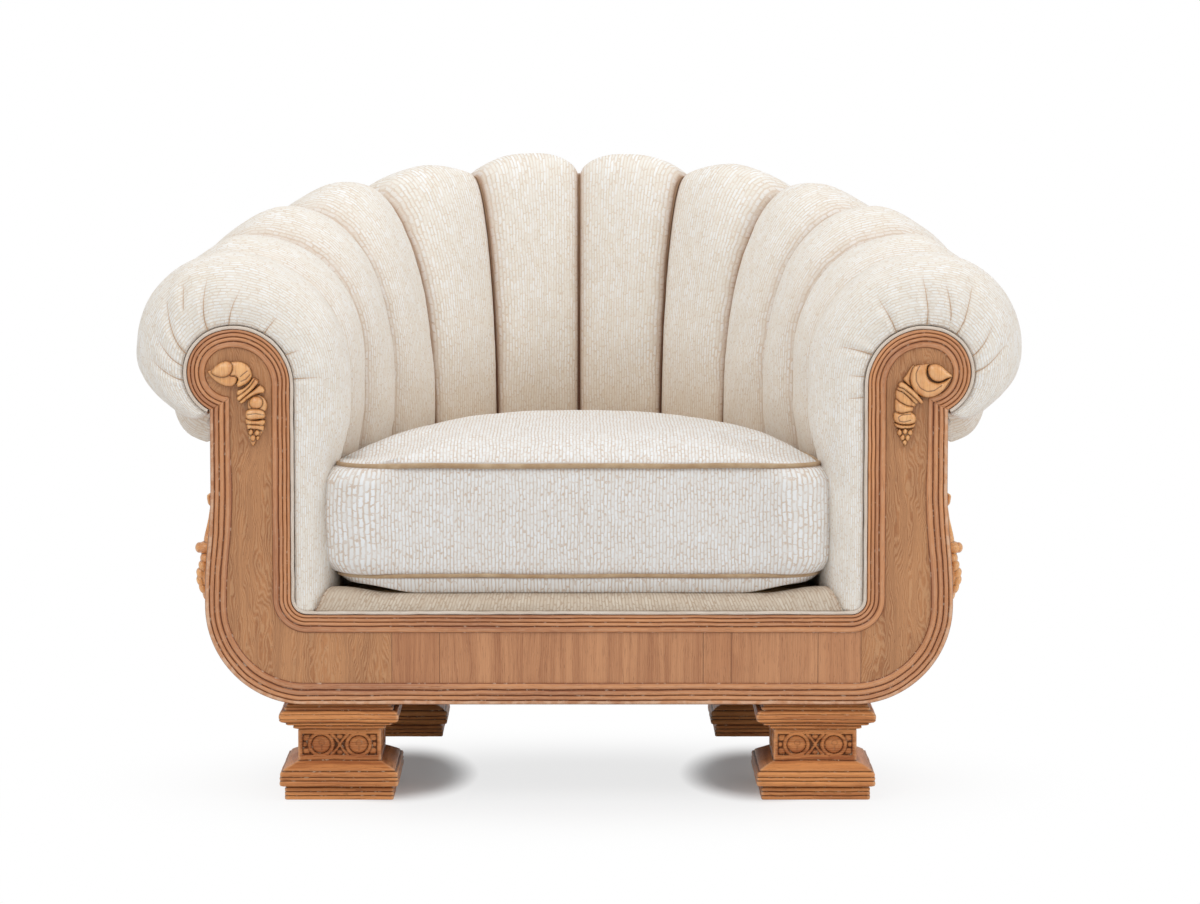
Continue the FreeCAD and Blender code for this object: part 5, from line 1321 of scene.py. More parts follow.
def hull_reach(station):
    """How far the wooden band's outer face lies from a seam's place."""
    point, way = seam_place(station)
    half = OUTER_HALF + HULL_BULGE - 0.2
    centre = (half - HULL_CORNER, HULL_BACK - HULL_CORNER)
    x, y = abs(point[0]), point[1]
    dx, dy = abs(way[0]), way[1]
    to_side = (half - x) / dx if dx > 1e-6 else HULL_BACK
    to_back = (HULL_BACK - y) / dy if dy > 1e-6 else HULL_BACK
    reach = min(to_side, to_back)
    if x + reach * dx > centre[0] and y + reach * dy > centre[1]:
        px, py = x - centre[0], y - centre[1]
        on_way = px * dx + py * dy
        reach = -on_way + math.sqrt(on_way ** 2 - px * px - py * py + HULL_CORNER ** 2)
    return reach


def cover_ends(station):
    """How far out an outside cover stands at its foot and at its head."""
    return hull_reach(station) - COVER_DEPTH / 2, roll_end(station)[0] - COVER_DEPTH / 3


def cover_line(station, shift, t):
    """A line up an outside cover at a station, moved along its direction."""
    point, way = seam_place(station)
    out = shift + blend(*cover_ends(station), t)
    high = blend(HULL_TOP + 0.4, roll_end(station)[1] - COVER_DROP, t)
    return point + out[:, None] * way + high[:, None] * np.array([0.0, 0.0, 1.0])


def outside_cover(name, first, last, node, seed):
    """A stretched cover on the outside of the tub between two stations."""
    stations = np.linspace(first, last, 90)
    t = np.linspace(0.0, 1.0, 60)
    front = np.array([cover_line(station, 0.0, t) for station in stations])
    back = np.array([cover_line(station, -COVER_DEPTH, t) for station in stations])
    width = lengths_along(front[:, 0])
    edge = np.minimum(np.minimum(width, width[-1] - width)[:, None], np.minimum(t, 1 - t)[None] * 300.0)
    ways = np.array([seam_place(station)[1] for station in stations])[:, None]
    swell = 1.6 * (1 - np.exp(-edge / 8.0)) + rough(front, 110.0, seed) * (1 - np.exp(-edge / 40.0))
    front = front + ways * (swell - 1.4)[..., None]
    ring = np.concatenate([front, back[:, ::-1], front[:, :1]], 1)
    up = np.concatenate([t * 330.0, 400.0 + t * 330.0, [760.0]])
    # Painted shade along the cover's edges.
    crease = np.exp(-edge / 2.5) * 0.5
    skin = Skin()
    skin.grid(ring, width[:, None], up[None],
              crease=np.concatenate([crease, np.zeros_like(crease), crease[:, :1]], 1))
    skin.cap(ring[0], 0.0, up[None], 2)
    skin.cap(ring[-1], 10.0, up[None], 2)
    return settle(skin.build(name, CLOTH), "chair", "upholstery_fabric", node, fill=0.2)


EDGE_IN, EDGE_DOWN, EDGE_RADIUS = 7.0, 9.0, 8.0


def roll_edge():
    """A soft roll of cloth that closes the line under the channels' outer ends."""
    path = []
    for station in np.linspace(-ARM_COVER_END, ARM_COVER_END, 420):
        out, top = roll_end(station)
        point, way = seam_place(station)
        path.append(point + way * (out - EDGE_IN) + np.array([0.0, 0.0, top - EDGE_DOWN]))
    path = np.array(path)
    # The whole roll is darkened with painted shade.
    skin = tube(Skin(), path, EDGE_RADIUS + 0.3 * rough(path, 30.0, 91), 12, normal=(0.0, 0.0, 1.0),
                crease=0.25)
    return settle(skin.build("roll_edge", CLOTH), "chair", "upholstery_fabric")


# The back and top of the side stiles, and the gap behind them.
STILE_BACK = REEDING_DEPTH + BOARD_DEPTH + 60.2
STILE_TOP, STILE_GAP = 468.4, 11.2
TOP_CORD, WEDGE_CORD = 8.2, 11.0


def stile_cord(side):
    """A cord of cloth in the gap round a side stile: up behind it, then forward over its top."""
    radius = STILE_GAP / 2 - 0.15
    point, way = seam_place(side * ARM_COVER_END)
    foot, head = cover_ends(ARM_COVER_END)
    low, high = HULL_TOP + 0.8, STILE_TOP + 8.4
    rows = []
    for z in np.linspace(low, high - 4.0, 60):
        out = blend(foot, head, (z - low) / (high - low) * 0.9)
        x = abs(point[0] + way[0] * out) - radius - 1.2
        rows.append((side * x, STILE_BACK + STILE_GAP / 2, z, radius))
    for y in np.linspace(STILE_BACK + 1.0, REEDING_DEPTH + BOARD_DEPTH + 0.8, 30):
        rows.append((side * (x - 1.0), y, high, TOP_CORD))
    rows = np.array(rows)
    # Both cords are darkened with painted shade.
    skin = tube(Skin(), rows[:, :3], rows[:, 3], 14, normal=(side, 0.0, 0.0), crease=0.2)
    wedge = [(side * (x - 4.0), y, high + WEDGE_CORD)
             for y in np.linspace(STILE_BACK - 8.0, STILE_BACK + 50.0, 20)]
    tube(skin, np.array(wedge), WEDGE_CORD, 14, normal=(side, 0.0, 0.0), crease=0.3)
    return settle(skin.build("stile_cord_" + SIDES[side], CLOTH), "chair", "upholstery_fabric")


# The feet: moulded square blocks with a carved neck.

FOOT_PROFILE = (
    # height, half width, groove mark (dark wax and painted shade)
    (1.2, 67.3, 0.3), (2.2, 68.5, 0.0), (5.4, 68.8, 0.0), (6.3, 67.0, 1.0), (7.4, 68.6, 0.0),
    (10.6, 68.6, 0.0), (11.6, 66.8, 1.0), (12.7, 68.6, 0.0), (15.6, 68.4, 0.0), (16.6, 66.4, 1.0),
    (17.4, 66.6, 0.6),
    (18.0, 67.4, 0.2), (18.6, 71.0, 0.6), (19.6, 73.8, 0.0), (22.0, 74.8, 0.0), (24.8, 74.6, 0.0),
    (25.8, 72.2, 1.0), (26.8, 74.2, 0.0), (29.4, 74.8, 0.0), (30.4, 72.6, 1.0), (31.4, 74.0, 0.0),
    (34.4, 74.4, 0.0), (36.6, 73.6, 0.0), (37.4, 71.4, 0.8), (38.0, 70.2, 1.0), (38.6, 70.8, 0.1),
    (40.0, 69.6, 0.0), (42.0, 66.0, 0.0), (44.4, 61.2, 0.0), (46.6, 56.8, 0.0), (48.0, 53.6, 0.0),
    (48.4, 52.6, 0.6), (49.0, 52.0, 1.0), (49.8, 52.2, 0.3), (50.4, 52.4, 0.0),
)
FOOT_PROFILE_TOP = (
    (87.2, 52.4, 0.0), (88.2, 52.2, 0.4), (88.8, 52.0, 1.0), (89.6, 54.8, 0.6), (90.6, 57.8, 0.1),
    (92.0, 58.4, 0.0), (93.4, 58.0, 0.3), (94.0, 57.0, 1.0), (94.8, 60.4, 0.4), (95.8, 65.0, 0.0),
    (97.2, 67.0, 0.0), (98.2, 67.0, 0.4), (98.9, 66.2, 1.0), (99.6, 69.4, 0.7), (100.6, 72.6, 0.1),
    (102.4, 74.6, 0.0), (103.6, 75.0, 0.0), (104.3, 73.8, 0.8), (105.0, 75.1, 0.0), (107.6, 75.3, 0.0),
    (109.8, 75.1, 0.0), (110.5, 73.8, 0.8), (111.2, 74.4, 0.0), (112.8, 73.0, 0.0),
    (114.2, 70.6, 0.3), (114.8, 68.4, 1.0), (115.4, 68.0, 0.5), (117.0, 68.6, 0.0), (118.4, 68.4, 0.0),
    (119.2, 66.6, 0.9), (120.0, 66.4, 0.4), (121.4, 66.0, 0.2), (122.6, 64.4, 0.8), (123.3, 62.4, 1.0),
)
NECK_LOW, NECK_HIGH, NECK_HALF = 51.4, 86.2, 52.4
# Half sizes of the neck's carved panel, and how far its two roundels are from its middle.
PANEL_HALF, PANEL_TALL, ROUNDEL_AT = 50.0, 17.4, 22.5
CORNER_STEPS = 7


def roundel_relief(a, b):
    """Raised depth of the neck's carved panel at places along and up the face, and its groove mark."""
    inside = np.minimum(PANEL_HALF - np.abs(a) - 4.4, PANEL_TALL - np.abs(b) - 3.6)
    frame_inside = smooth(inside / 0.9)
    rise = np.zeros(np.broadcast(a, b).shape)
    lines = np.zeros(rise.shape)

    def ridge(distance, width, height):
        return np.sqrt(np.maximum(1 - (distance / width) ** 2, 0.0)) * height

    for x in (-40.0, 40.0):
        for z in (-8.2, 8.2):
            near = np.maximum(np.abs(b - z) * 1.1, np.abs(a - x) * 0.9 + np.abs(b - z) * 0.35)
            rise = np.maximum(rise, ridge(near, 4.0, 2.6))
    for z in (-10.0, 10.0):
        rise = np.maximum(rise, ridge(np.hypot(a * 0.8, (b - z) * 1.1), 3.0, 2.4))
    for x, wide in ((0.0, 2.6), (-42.0, 2.4), (42.0, 2.4)):
        rise = np.maximum(rise, ridge(np.hypot(a - x, b * 0.75), wide, 3.2))
    wave = 11.5 * np.sin(np.clip(a / 10.0, -1.0, 1.0) * math.pi / 2)
    for sign in (-1.0, 1.0):
        rise = np.maximum(rise, ridge((b - sign * wave) * 0.72, 1.9, 3.0 + 0.4 * sign) * (np.abs(a) < 11.5))
    for centre in (-ROUNDEL_AT, ROUNDEL_AT):
        far = np.hypot(a - centre, b)
        ring = ridge(far - 14.0, 2.3, 3.4)
        disc = np.where(far < 10.9, 3.9 * np.maximum(1 - (far / 10.9) ** 6, 0.0) ** 0.5, 0.0)
        rise = np.where(far < 16.3, np.maximum(ring, disc), rise)
        hook = np.hypot(a - centre - 0.8, b - 2.6)
        lines = np.maximum(lines, 0.5 * np.exp(-((hook - 3.4) / 0.7) ** 2) * (b > -1.0))
        lines = np.maximum(lines, 0.5 * np.exp(-((a - centre - 0.8) / 0.8) ** 2) * (b < 0.5) * (b > -8.0))
        lines = np.maximum(lines, np.exp(-((far - 11.3) / 0.55) ** 2))
        lines = np.maximum(lines, 0.8 * np.exp(-((far - 16.4) / 0.5) ** 2))
    relief = (-3.2 + rise - 0.35 * lines * (rise > 1.0)) * frame_inside
    # The ground of the carved panel is marked dark with dark wax and painted shade in the recess.
    hollow = frame_inside * np.maximum(smooth((1.2 - rise) / 1.0), lines * 0.85)
    return relief, hollow * 0.95


def foot_ring(z, half, mark, carved, extra, per_side):
    """One level of a foot: its outline and its marks of grooves, darkened by dark wax and painted shade, and
    of edges paled by wear.
    """
    radius = 1.6 + 0.6 * (z > 100)
    half_y = half + extra / 2
    ring, groove, edge = [], [], []
    for turn, (run, reach) in enumerate(((half, half_y), (half_y, half)) * 2):
        a = np.linspace(-(run - radius), run - radius, per_side)
        out, dark = np.zeros(per_side), np.full(per_side, mark)
        if carved:
            up = np.full(per_side, z - (NECK_LOW + NECK_HIGH) / 2)
            out, hollow = roundel_relief(a * PANEL_HALF / run, up)
            dark = np.maximum(dark, hollow)
        bend = np.linspace(-math.pi / 2, 0.0, CORNER_STEPS + 2)[1:-1]
        arc = np.stack([run - radius + radius * np.cos(bend),
                        -(reach - radius) + radius * np.sin(bend)], -1)
        angle = turn * math.pi / 2
        spin = np.array([[math.cos(angle), math.sin(angle)], [-math.sin(angle), math.cos(angle)]])
        ring.append(np.concatenate([np.stack([a, -(reach + out)], -1), arc]) @ spin)
        groove.append(np.concatenate([dark, np.full(CORNER_STEPS, mark)]))
        edge.append(np.concatenate([np.clip((np.abs(a) - run + 4.0) / 3.0, 0.0, 1.0),
                                    np.ones(CORNER_STEPS)]))
    ring, groove, edge = np.concatenate(ring), np.concatenate(groove), np.concatenate(edge)
    return np.concatenate([ring, ring[:1]]), np.append(groove, groove[0]), np.append(edge, edge[0])


def carved_foot(name, x, y, extra, dense, seed):
    """A foot; the dense ones stand in front, where their carving is seen."""
    neck = np.linspace(NECK_LOW, NECK_HIGH, 50 if dense else 14)
    levels = np.array([(z, half, mark, 0.0) for z, half, mark in FOOT_PROFILE]
                      + [(z, NECK_HALF, 0.0, 1.0) for z in neck]
                      + [(z, half, mark, 0.0) for z, half, mark in FOOT_PROFILE_TOP])
    parts = [foot_ring(*level, extra, 96 if dense else 24) for level in levels]
    rings, grooves, edges = [np.array(part) for part in zip(*parts)]
    z = levels[:, :1]
    points = np.concatenate([rings + np.array([x, y]),
                             np.broadcast_to(z[..., None], rings.shape[:2] + (1,))], -1)
    handmade = rough(points, 26.0, seed) * 0.45 + rough(points, 9.0, seed + 1) * 0.15
    points[..., 2] += np.where((z > 3) & (z < 122), handmade, 0.0)
    points[..., :2] += unit(rings) * (rough(points, 22.0, seed + 2) * 0.35)[..., None]
    around = lengths_along(rings[20])
    up = lengths_along(np.stack([levels[:, 1], levels[:, 0]], -1))
    skin = Skin()
    skin.grid(points, around[None] + seed * 40.0, up[:, None], groove=grooves, edge=edges * 0.8)
    skin.cap(points[0], around[None], 0.0, 4)
    skin.cap(points[-1], around[None], 0.0, 4)
    return settle(skin.build("foot_carved_" + name, FOOT_OAK, "grain"), "chair", "carved_oak",
                  "foot_" + name)


# The side carvings: closed lumps and ribs that are grown into one skin.

# Edge length of the cells that the skin is grown from.
CELL = 0.8


def lump(store, centre, half_sizes, tilt=0.0, steps=20):
    """An egg shape; tilt turns it in the front plane, in degrees."""
    u, w = np.meshgrid(np.linspace(0, math.pi, steps), np.linspace(0, 2 * math.pi, 2 * steps),
                       indexing="ij")
    ball = np.stack([np.sin(u) * np.cos(w), np.cos(u), np.sin(u) * np.sin(w)], -1)
    a = math.radians(tilt)
    spin = np.array([[math.cos(a), 0, math.sin(a)], [0, 1, 0], [-math.sin(a), 0, math.cos(a)]])
    store.grid(ball * np.asarray(half_sizes) @ spin + np.asarray(centre), 0.0, 0.0)


def point_values(mesh, key):
    """Places or normals of a mesh's points, one to a row."""
    values = np.empty(len(mesh.vertices) * 3, np.float32)
    mesh.vertices.foreach_get(key, values)
    return values.reshape(-1, 3)


def lay_map(mesh, name, flat):
    """Gives the mesh one flat map, from a place for each of its points."""
    for old in list(mesh.uv_layers):
        mesh.uv_layers.remove(old)
    loops = np.empty(len(mesh.loops), np.int32)
    mesh.loops.foreach_get("vertex_index", loops)
    layer = mesh.uv_layers.new(name=name)
    layer.data.foreach_set("uv", flat[loops].astype(np.float32).ravel())


def hollowness(mesh):
    """How far the points next to each point stand out over it, evened out over a few points."""
    normals = point_values(mesh, "normal")
    work = bmesh.new()
    work.from_mesh(mesh)
    work.verts.ensure_lookup_table()
    bend = np.zeros(len(work.verts))
    for i, vert in enumerate(work.verts):
        links = [e.other_vert(vert).co for e in vert.link_edges]
        if links:
            bend[i] = (sum(links, Vector()) / len(links) - vert.co).dot(Vector(normals[i])) / METRE
    for _ in range(3):
        spread = bend.copy()
        for vert in work.verts:
            links = [bend[e.other_vert(vert).index] for e in vert.link_edges]
            spread[vert.index] = 0.5 * bend[vert.index] + 0.5 * (sum(links) / max(len(links), 1))
        bend = spread
    work.free()
    return bend


def grown(name, store, clean, node):
    """Grows the stored lumps into one skin, cleans it and lays the grain along its height."""
    piece = store.build(name, CARVED_OAK, "grain")
    modifier = piece.modifiers.new("grow", "REMESH")
    modifier.mode = "VOXEL"
    modifier.voxel_size = CELL * METRE
    soften = piece.modifiers.new("soften", "SMOOTH")
    soften.factor, soften.iterations = 0.5, 2
    bpy.context.view_layer.update()
    mesh = bpy.data.meshes.new_from_object(piece.evaluated_get(bpy.context.evaluated_depsgraph_get()))
    piece.modifiers.clear()
    piece.data = mesh
    mesh.name = name
    if not mesh.materials:
        mesh.materials.append(CARVED_OAK)
    to_front = np.array([0.0, FRONT_Y / METRE, 0.0])
    co = clean(point_values(mesh, "co").astype(float) / METRE - to_front) + to_front
    co = (co * METRE).astype(np.float32)
    mesh.vertices.foreach_set("co", co.ravel())
    lay_map(mesh, "grain", np.stack([co[:, 2], co[:, 0] + co[:, 1]], -1))
    mesh.update()
    bend = hollowness(mesh)
    # Hollows get the groove mark, darkened with dark wax and painted shade; bulges get the pale edge mark.
    write_marks(mesh, {"groove": np.clip(bend / CELL * 14.0 - 0.15, 0.0, 1.0),
                       "edge": np.clip(-bend / CELL * 12.0 - 0.2, 0.0, 0.8)})
    shade_smooth(mesh)
    return settle(piece, "chair", "carved_oak", node)


# The photograph's pixel on the frame's middle line and on the floor, and millimetres to a pixel.
PHOTO_MIDDLE, PHOTO_FLOOR = 578.0, 800.0
PIXEL_WIDE, PIXEL_TALL = 1.25, 1.2547
GROUND_Y = REEDING_DEPTH - VENEER_DEPTH - 0.2


def front_points(pixels):
    """Places on the chair's front, as (x, z), of places in the photograph."""
    return np.array([((px - PHOTO_MIDDLE) * PIXEL_WIDE, (PHOTO_FLOOR - py) * PIXEL_TALL)
                     for px, py in pixels])


# The carvings of the scroll heads: forms laid over each other, each with its outline in pixels of
# the photograph, its height and the width of its rounded edge in millimetres.
HEADS = {
    -1: {
        "forms": (
            (((207.5, 366.5), (210, 371), (214, 375.5), (219, 379), (225, 381.5), (231, 382),
            (235.5, 379.5),
              (237.5, 375), (236, 371), (228, 368), (214, 365.5)), 5.6, 4.0),
            (((231, 357.5), (237, 356.6), (243, 357.6), (248, 360.5), (251, 365.5), (252, 371.5),
              (249.5, 376.5), (244, 380.5), (238, 382.5), (236.5, 379), (238, 374.5), (235.5, 371.5),
              (231, 371), (228, 367), (229, 361)), 8.2, 8.0),
            (((211.5, 368), (214, 363), (219, 358.6), (225, 356.4), (230, 357.2), (232.8, 361),
            (232.5, 366),
              (229.5, 370), (224, 372.3), (217, 371.5)), 10.2, 9.0),
            (((247, 399), (248.6, 394), (253, 390.5), (258.5, 390), (263.5, 392.6), (266.8, 398),
              (267, 403.5), (264, 407), (256, 408), (249, 407)), 6.6, 3.5),
            (((239, 396.8), (245, 391), (253, 385.2), (259, 380.5), (262.4, 381.6), (264.8, 385),
            (263.6, 388),
              (259, 388.8), (253, 391), (247, 395), (242, 399)), 8.6, 3.0),
            (((237, 386), (243, 383.4), (249, 378.4), (253, 373), (256, 375), (252, 381.5), (245, 387.5),
              (238, 391)), 7.4, 1.8),
            (((236.6, 392.5), (243, 387.8), (250, 381.5), (255.5, 374.2), (258.6, 377), (256, 381.4),
              (250, 387.2), (243.5, 392.7), (238.8, 396.2)), 9.6, 2.2),
            (((249, 397.5), (250.6, 393.6), (254, 391.4), (258.6, 391.6), (262, 394.6), (262.6, 399),
              (260, 403), (255, 404.4), (250.6, 402)), 10.0, 8.0),
            (((246.3, 405.5), (252, 403.6), (258.5, 404), (263.6, 406.2), (265.4, 410.2), (263.5, 413.6),
              (258, 414.6), (250, 415.2), (246, 413.6), (245, 409.4)), 9.2, 5.0),
            (((245, 413.8), (250, 415), (257, 415.4), (263, 414.6), (265.4, 417), (262.5, 420.6),
              (256, 420), (250, 420), (246, 419)), 8.2, 2.4),
            (((246.6, 419.6), (253, 419.6), (259, 420), (264, 421), (262.7, 426), (257, 425), (251, 424.6),
              (247.4, 424.6)), 7.6, 2.2),
            (((247.6, 425), (253, 424.4), (262, 426), (260, 431), (256, 436), (252.6, 441.6), (249.4, 437),
              (247.6, 431)), 5.4, 4.0),
            (((248, 427), (250.5, 423.6), (253.2, 426.4), (252, 430), (248.8, 430)), 7.6, 3.2),
            (((253.6, 427.6), (256.6, 424.4), (259.6, 427), (258.4, 430.8), (254.8, 431)), 7.8, 3.4),
            (((249.6, 432.2), (252.6, 429.4), (255.6, 432), (254, 436), (250.8, 436)), 7.0, 3.0),
            (((255.4, 432.6), (257.8, 430.4), (259.4, 433), (257, 435.8)), 6.4, 2.4),
        ),
        "lines": (((231, 371.5), (235.4, 371), (237.6, 374), (236.4, 378), (233.4, 381)),
                  ((247.4, 366.2), (243, 369.6), (240.6, 371.6)), ((247, 409.6), (256, 408.4), (264, 410)),
                  ((241, 376.4), (246, 374.4), (250, 370))),
    },
    1: {
        "forms": (
            (((901.4, 374.6), (904.5, 369.5), (909.5, 361.6), (912.5, 361), (910, 368), (908, 376),
              (909.5, 382), (905, 379.5)), 5.4, 2.6),
            (((912, 361.5), (908.8, 368), (908, 375), (909.8, 382), (913.5, 387.5), (919, 391.5),
            (926, 393),
              (933, 391.5), (940, 387), (945.5, 380), (950.4, 371.2), (943, 376), (936, 378), (929, 376),
              (925, 370), (925.5, 362), (927, 359.2), (919, 359.6)), 8.0, 7.0),
            (((925.6, 366), (927, 361), (933, 359), (939.5, 361.2), (945, 366), (950.4, 371.4), (944, 374),
              (938.5, 376.6), (932, 376), (927.5, 372)), 10.2, 8.0),
            (((893.8, 385.6), (898.6, 383), (905, 387), (911, 393), (915, 398.5), (911.4, 402.4),
            (903, 401),
              (897, 398), (893.8, 393)), 7.0, 3.0),
            (((894.6, 383.4), (898, 380.6), (903.6, 383.4), (910, 388.8), (916.4, 396), (914, 399),
              (907.6, 393), (901, 387.4), (896.6, 385.6)), 8.0, 1.6),
            (((896.4, 378.6), (900, 377), (906, 380.6), (912, 386), (918, 392), (921.6, 397), (918.8, 399),
              (913.6, 394), (907.4, 388.4), (901, 383.6), (896.8, 382)), 9.6, 2.0),
            (((893.4, 394.4), (898, 396.8), (905, 400.6), (911.4, 402), (910.6, 406.6), (905, 409),
              (898, 408.6), (893.4, 405.6)), 8.8, 6.0),
            (((892.6, 407.4), (900, 408.4), (908, 406.8), (913.2, 409.6), (914.6, 414), (912, 418.8),
              (904, 419.8), (896, 418.8), (892, 414.6)), 9.4, 5.0),
            (((892.6, 418), (900, 419.8), (908, 420), (913.2, 418.4), (912.2, 422.4), (906, 423.8),
              (899, 423.8), (894.2, 421.8)), 8.2, 2.2),
            (((895, 424), (903, 424.6), (911.6, 423.6), (910.6, 430), (907, 436), (903.8, 442.4),
            (900.4, 437),
              (896.6, 430)), 5.4, 4.0),
            (((895.4, 427), (898, 423.8), (900.6, 427), (899.4, 430.6), (896.4, 430.4)), 7.6, 3.0),
            (((900.8, 426), (903.4, 423), (906.2, 425.6), (905, 429), (902, 429)), 7.8, 3.2),
            (((906, 427), (909, 424.2), (911.2, 427), (910, 430.6), (907, 430.6)), 7.6, 3.0),
            (((898.4, 432), (901.4, 429), (903.6, 432), (902.4, 435.8), (899.6, 435.6)), 7.0, 3.0),
            (((903.6, 432), (906.6, 429.4), (908.6, 432), (907, 435.8), (904.6, 435.8)), 7.0, 3.0),
            (((900.6, 437), (903.4, 434.6), (905.6, 437), (903.8, 440.6)), 6.4, 2.6),
        ),
        "lines": (((917.4, 361), (913.8, 368), (914, 376), (918, 383), (925, 386.6), (932, 385.6),
        (939.4, 380.6)),
                  ((908.6, 409), (899.6, 409.8), (896.2, 412.4), (897.6, 416), (902, 416.8), (908.6, 415)),
                  ((899, 386), (905, 390.6), (910.4, 396.6))),
    },
}
# Distance of the points of the relief, how deep its foot lies, and how much its heights grow.
RELIEF_STEP = 0.55
RELIEF_FOOT = 0.6
RELIEF_GAIN = 1.22


def closed_curve(points):
    """A smooth closed line through points."""
    t = np.linspace(0.0, 1.0, 10, endpoint=False)[None, :, None]
    ends = [np.roll(points, shift, 0)[:, None] for shift in (1, 0, -1, -2)]
    return spline(*ends, t).reshape(-1, 2)


def distance_to(line, x, z, closed):
    """Distance to a line and whether each place lies inside it."""
    ends = np.roll(line, -1, 0) if closed else line[1:]
    starts = line if closed else line[:-1]
    far = np.full(x.shape, 1e9)
    inside = np.zeros(x.shape, bool)
    for (x0, z0), (x1, z1) in zip(starts, ends):
        dx, dz = x1 - x0, z1 - z0
        t = np.clip(((x - x0) * dx + (z - z0) * dz) / (dx * dx + dz * dz + 1e-12), 0.0, 1.0)
        far = np.minimum(far, np.hypot(x - x0 - t * dx, z - z0 - t * dz))
        if closed:
            cross = (z0 > z) != (z1 > z)
            inside ^= cross & (x < x0 + (z - z0) * dx / (dz if abs(dz) > 1e-12 else 1e-12))
    return far, inside


def head_relief(side, forms, x, z):
    """Height, groove mark, distance to the edge and cover of a head's forms at places."""
    height = np.full(x.shape, -RELIEF_FOOT)
    groove, inner = np.zeros(x.shape), np.zeros(x.shape)
    covered = np.zeros(x.shape, bool)
    for outline, top, wide in forms:
        far, inside = distance_to(outline, x, z, True)
        dome = np.sqrt(1 - (1 - np.clip(far / (1.25 * wide), 0.0, 1.0)) ** 2)
        # Dark outlines round the forms, widened by painted shade.
        edge = np.maximum(np.exp(-(far / 0.8) ** 2), 0.24 * np.exp(-(far / 2.6) ** 2))
        groove = np.where(inside, 0.8 * edge, np.maximum(groove, edge))
        height = np.where(inside, RELIEF_GAIN * top * (0.42 + 0.58 * dome), height - 0.9 * edge * covered)
        inner = np.where(inside, far, inner)
        covered |= inside
    for line in HEADS[side]["lines"]:
        far = distance_to(resample(front_points(line), 24), x, z, False)[0]
        height = height - 0.9 * np.exp(-(far / 0.9) ** 2) * covered
        groove = np.maximum(groove, 0.9 * np.exp(-(far / 0.7) ** 2))
    flat = np.stack([x, np.zeros(x.shape), z], -1)
    uneven = rough(flat, 9.0, 51 + side) * 0.35 + rough(flat, 3.5, 54 + side) * 0.12
    return height + uneven * covered, groove, inner, covered


def relief_faces(covered):
    """The points in use and the faces of a relief: its front, its back and the walls between."""
    cells = covered[1:, 1:] | covered[:-1, 1:] | covered[1:, :-1] | covered[:-1, :-1]
    used = np.zeros(covered.shape, bool)
    for di in (0, 1):
        for dj in (0, 1):
            used[di:di + cells.shape[0], dj:dj + cells.shape[1]] |= cells
    count = int(used.sum())
    number = -np.ones(covered.shape, int)
    number[used] = np.arange(count)
    i, j = np.nonzero(cells)
    front = np.stack([number[i, j], number[i + 1, j], number[i + 1, j + 1], number[i, j + 1]], -1)
    edges = np.concatenate([front[:, [k, (k + 1) % 4]] for k in range(4)]).tolist()
    known = {tuple(edge) for edge in edges}
    walls = [[two, one, one + count, two + count] for one, two in edges if (two, one) not in known]
    return used, front.tolist() + (front[:, ::-1] + count).tolist() + walls


def head_carving(side):
    """Bud, cup, collars and husk on a scroll head. The two heads differ, as hand work does."""
    name = "scroll_carved_" + SIDES[side]
    forms = [(closed_curve(front_points(outline)), high, wide)
             for outline, high, wide in HEADS[side]["forms"]]
    every = np.concatenate([form[0] for form in forms])
    low, high = every.min(0) - 2.0, every.max(0) + 2.0
    x, z = np.meshgrid(np.arange(low[0], high[0], RELIEF_STEP), np.arange(low[1], high[1], RELIEF_STEP),
                       indexing="ij")
    height, groove, inner, covered = head_relief(side, forms, x, z)
    used, faces = relief_faces(covered)
    x, z, height = x[used], z[used], height[used]
    back = np.full(len(x), GROUND_Y + RELIEF_FOOT + 0.4)
    points = np.concatenate([np.stack([x, GROUND_Y - height, z], -1), np.stack([x, back, z], -1)])
    mesh = bpy.data.meshes.new(name)
    mesh.from_pydata((points * METRE + np.array([0.0, FRONT_Y, 0.0])).tolist(), [], faces)
    lay_map(mesh, "grain", points[:, [2, 0]] * METRE)
    # Raised parts are paled as painted highlight and low parts darkened as painted shade.
    raised = np.clip(height / 11.0, 0.0, 1.0)
    marks = {"groove": groove[used], "edge": 0.5 * raised * np.clip(inner[used] / 3.0, 0.0, 1.0),
             "tone": 0.8 * (1 - raised)}
    write_marks(mesh, {key: np.tile(values, 2) for key, values in marks.items()})
    mesh.update()
    close_up(mesh)
    return settle(add_object(name, mesh, CARVED_OAK), "chair", "carved_oak",
                  "scroll_carving_" + SIDES[side])


def face_x(z):
    """Half width of the frame's outer edge at a height."""
    chain = outer_half(1, 0.0, 0.0)
    order = np.argsort(chain[:, 1])
    return np.interp(z, chain[order, 1], chain[order, 0])


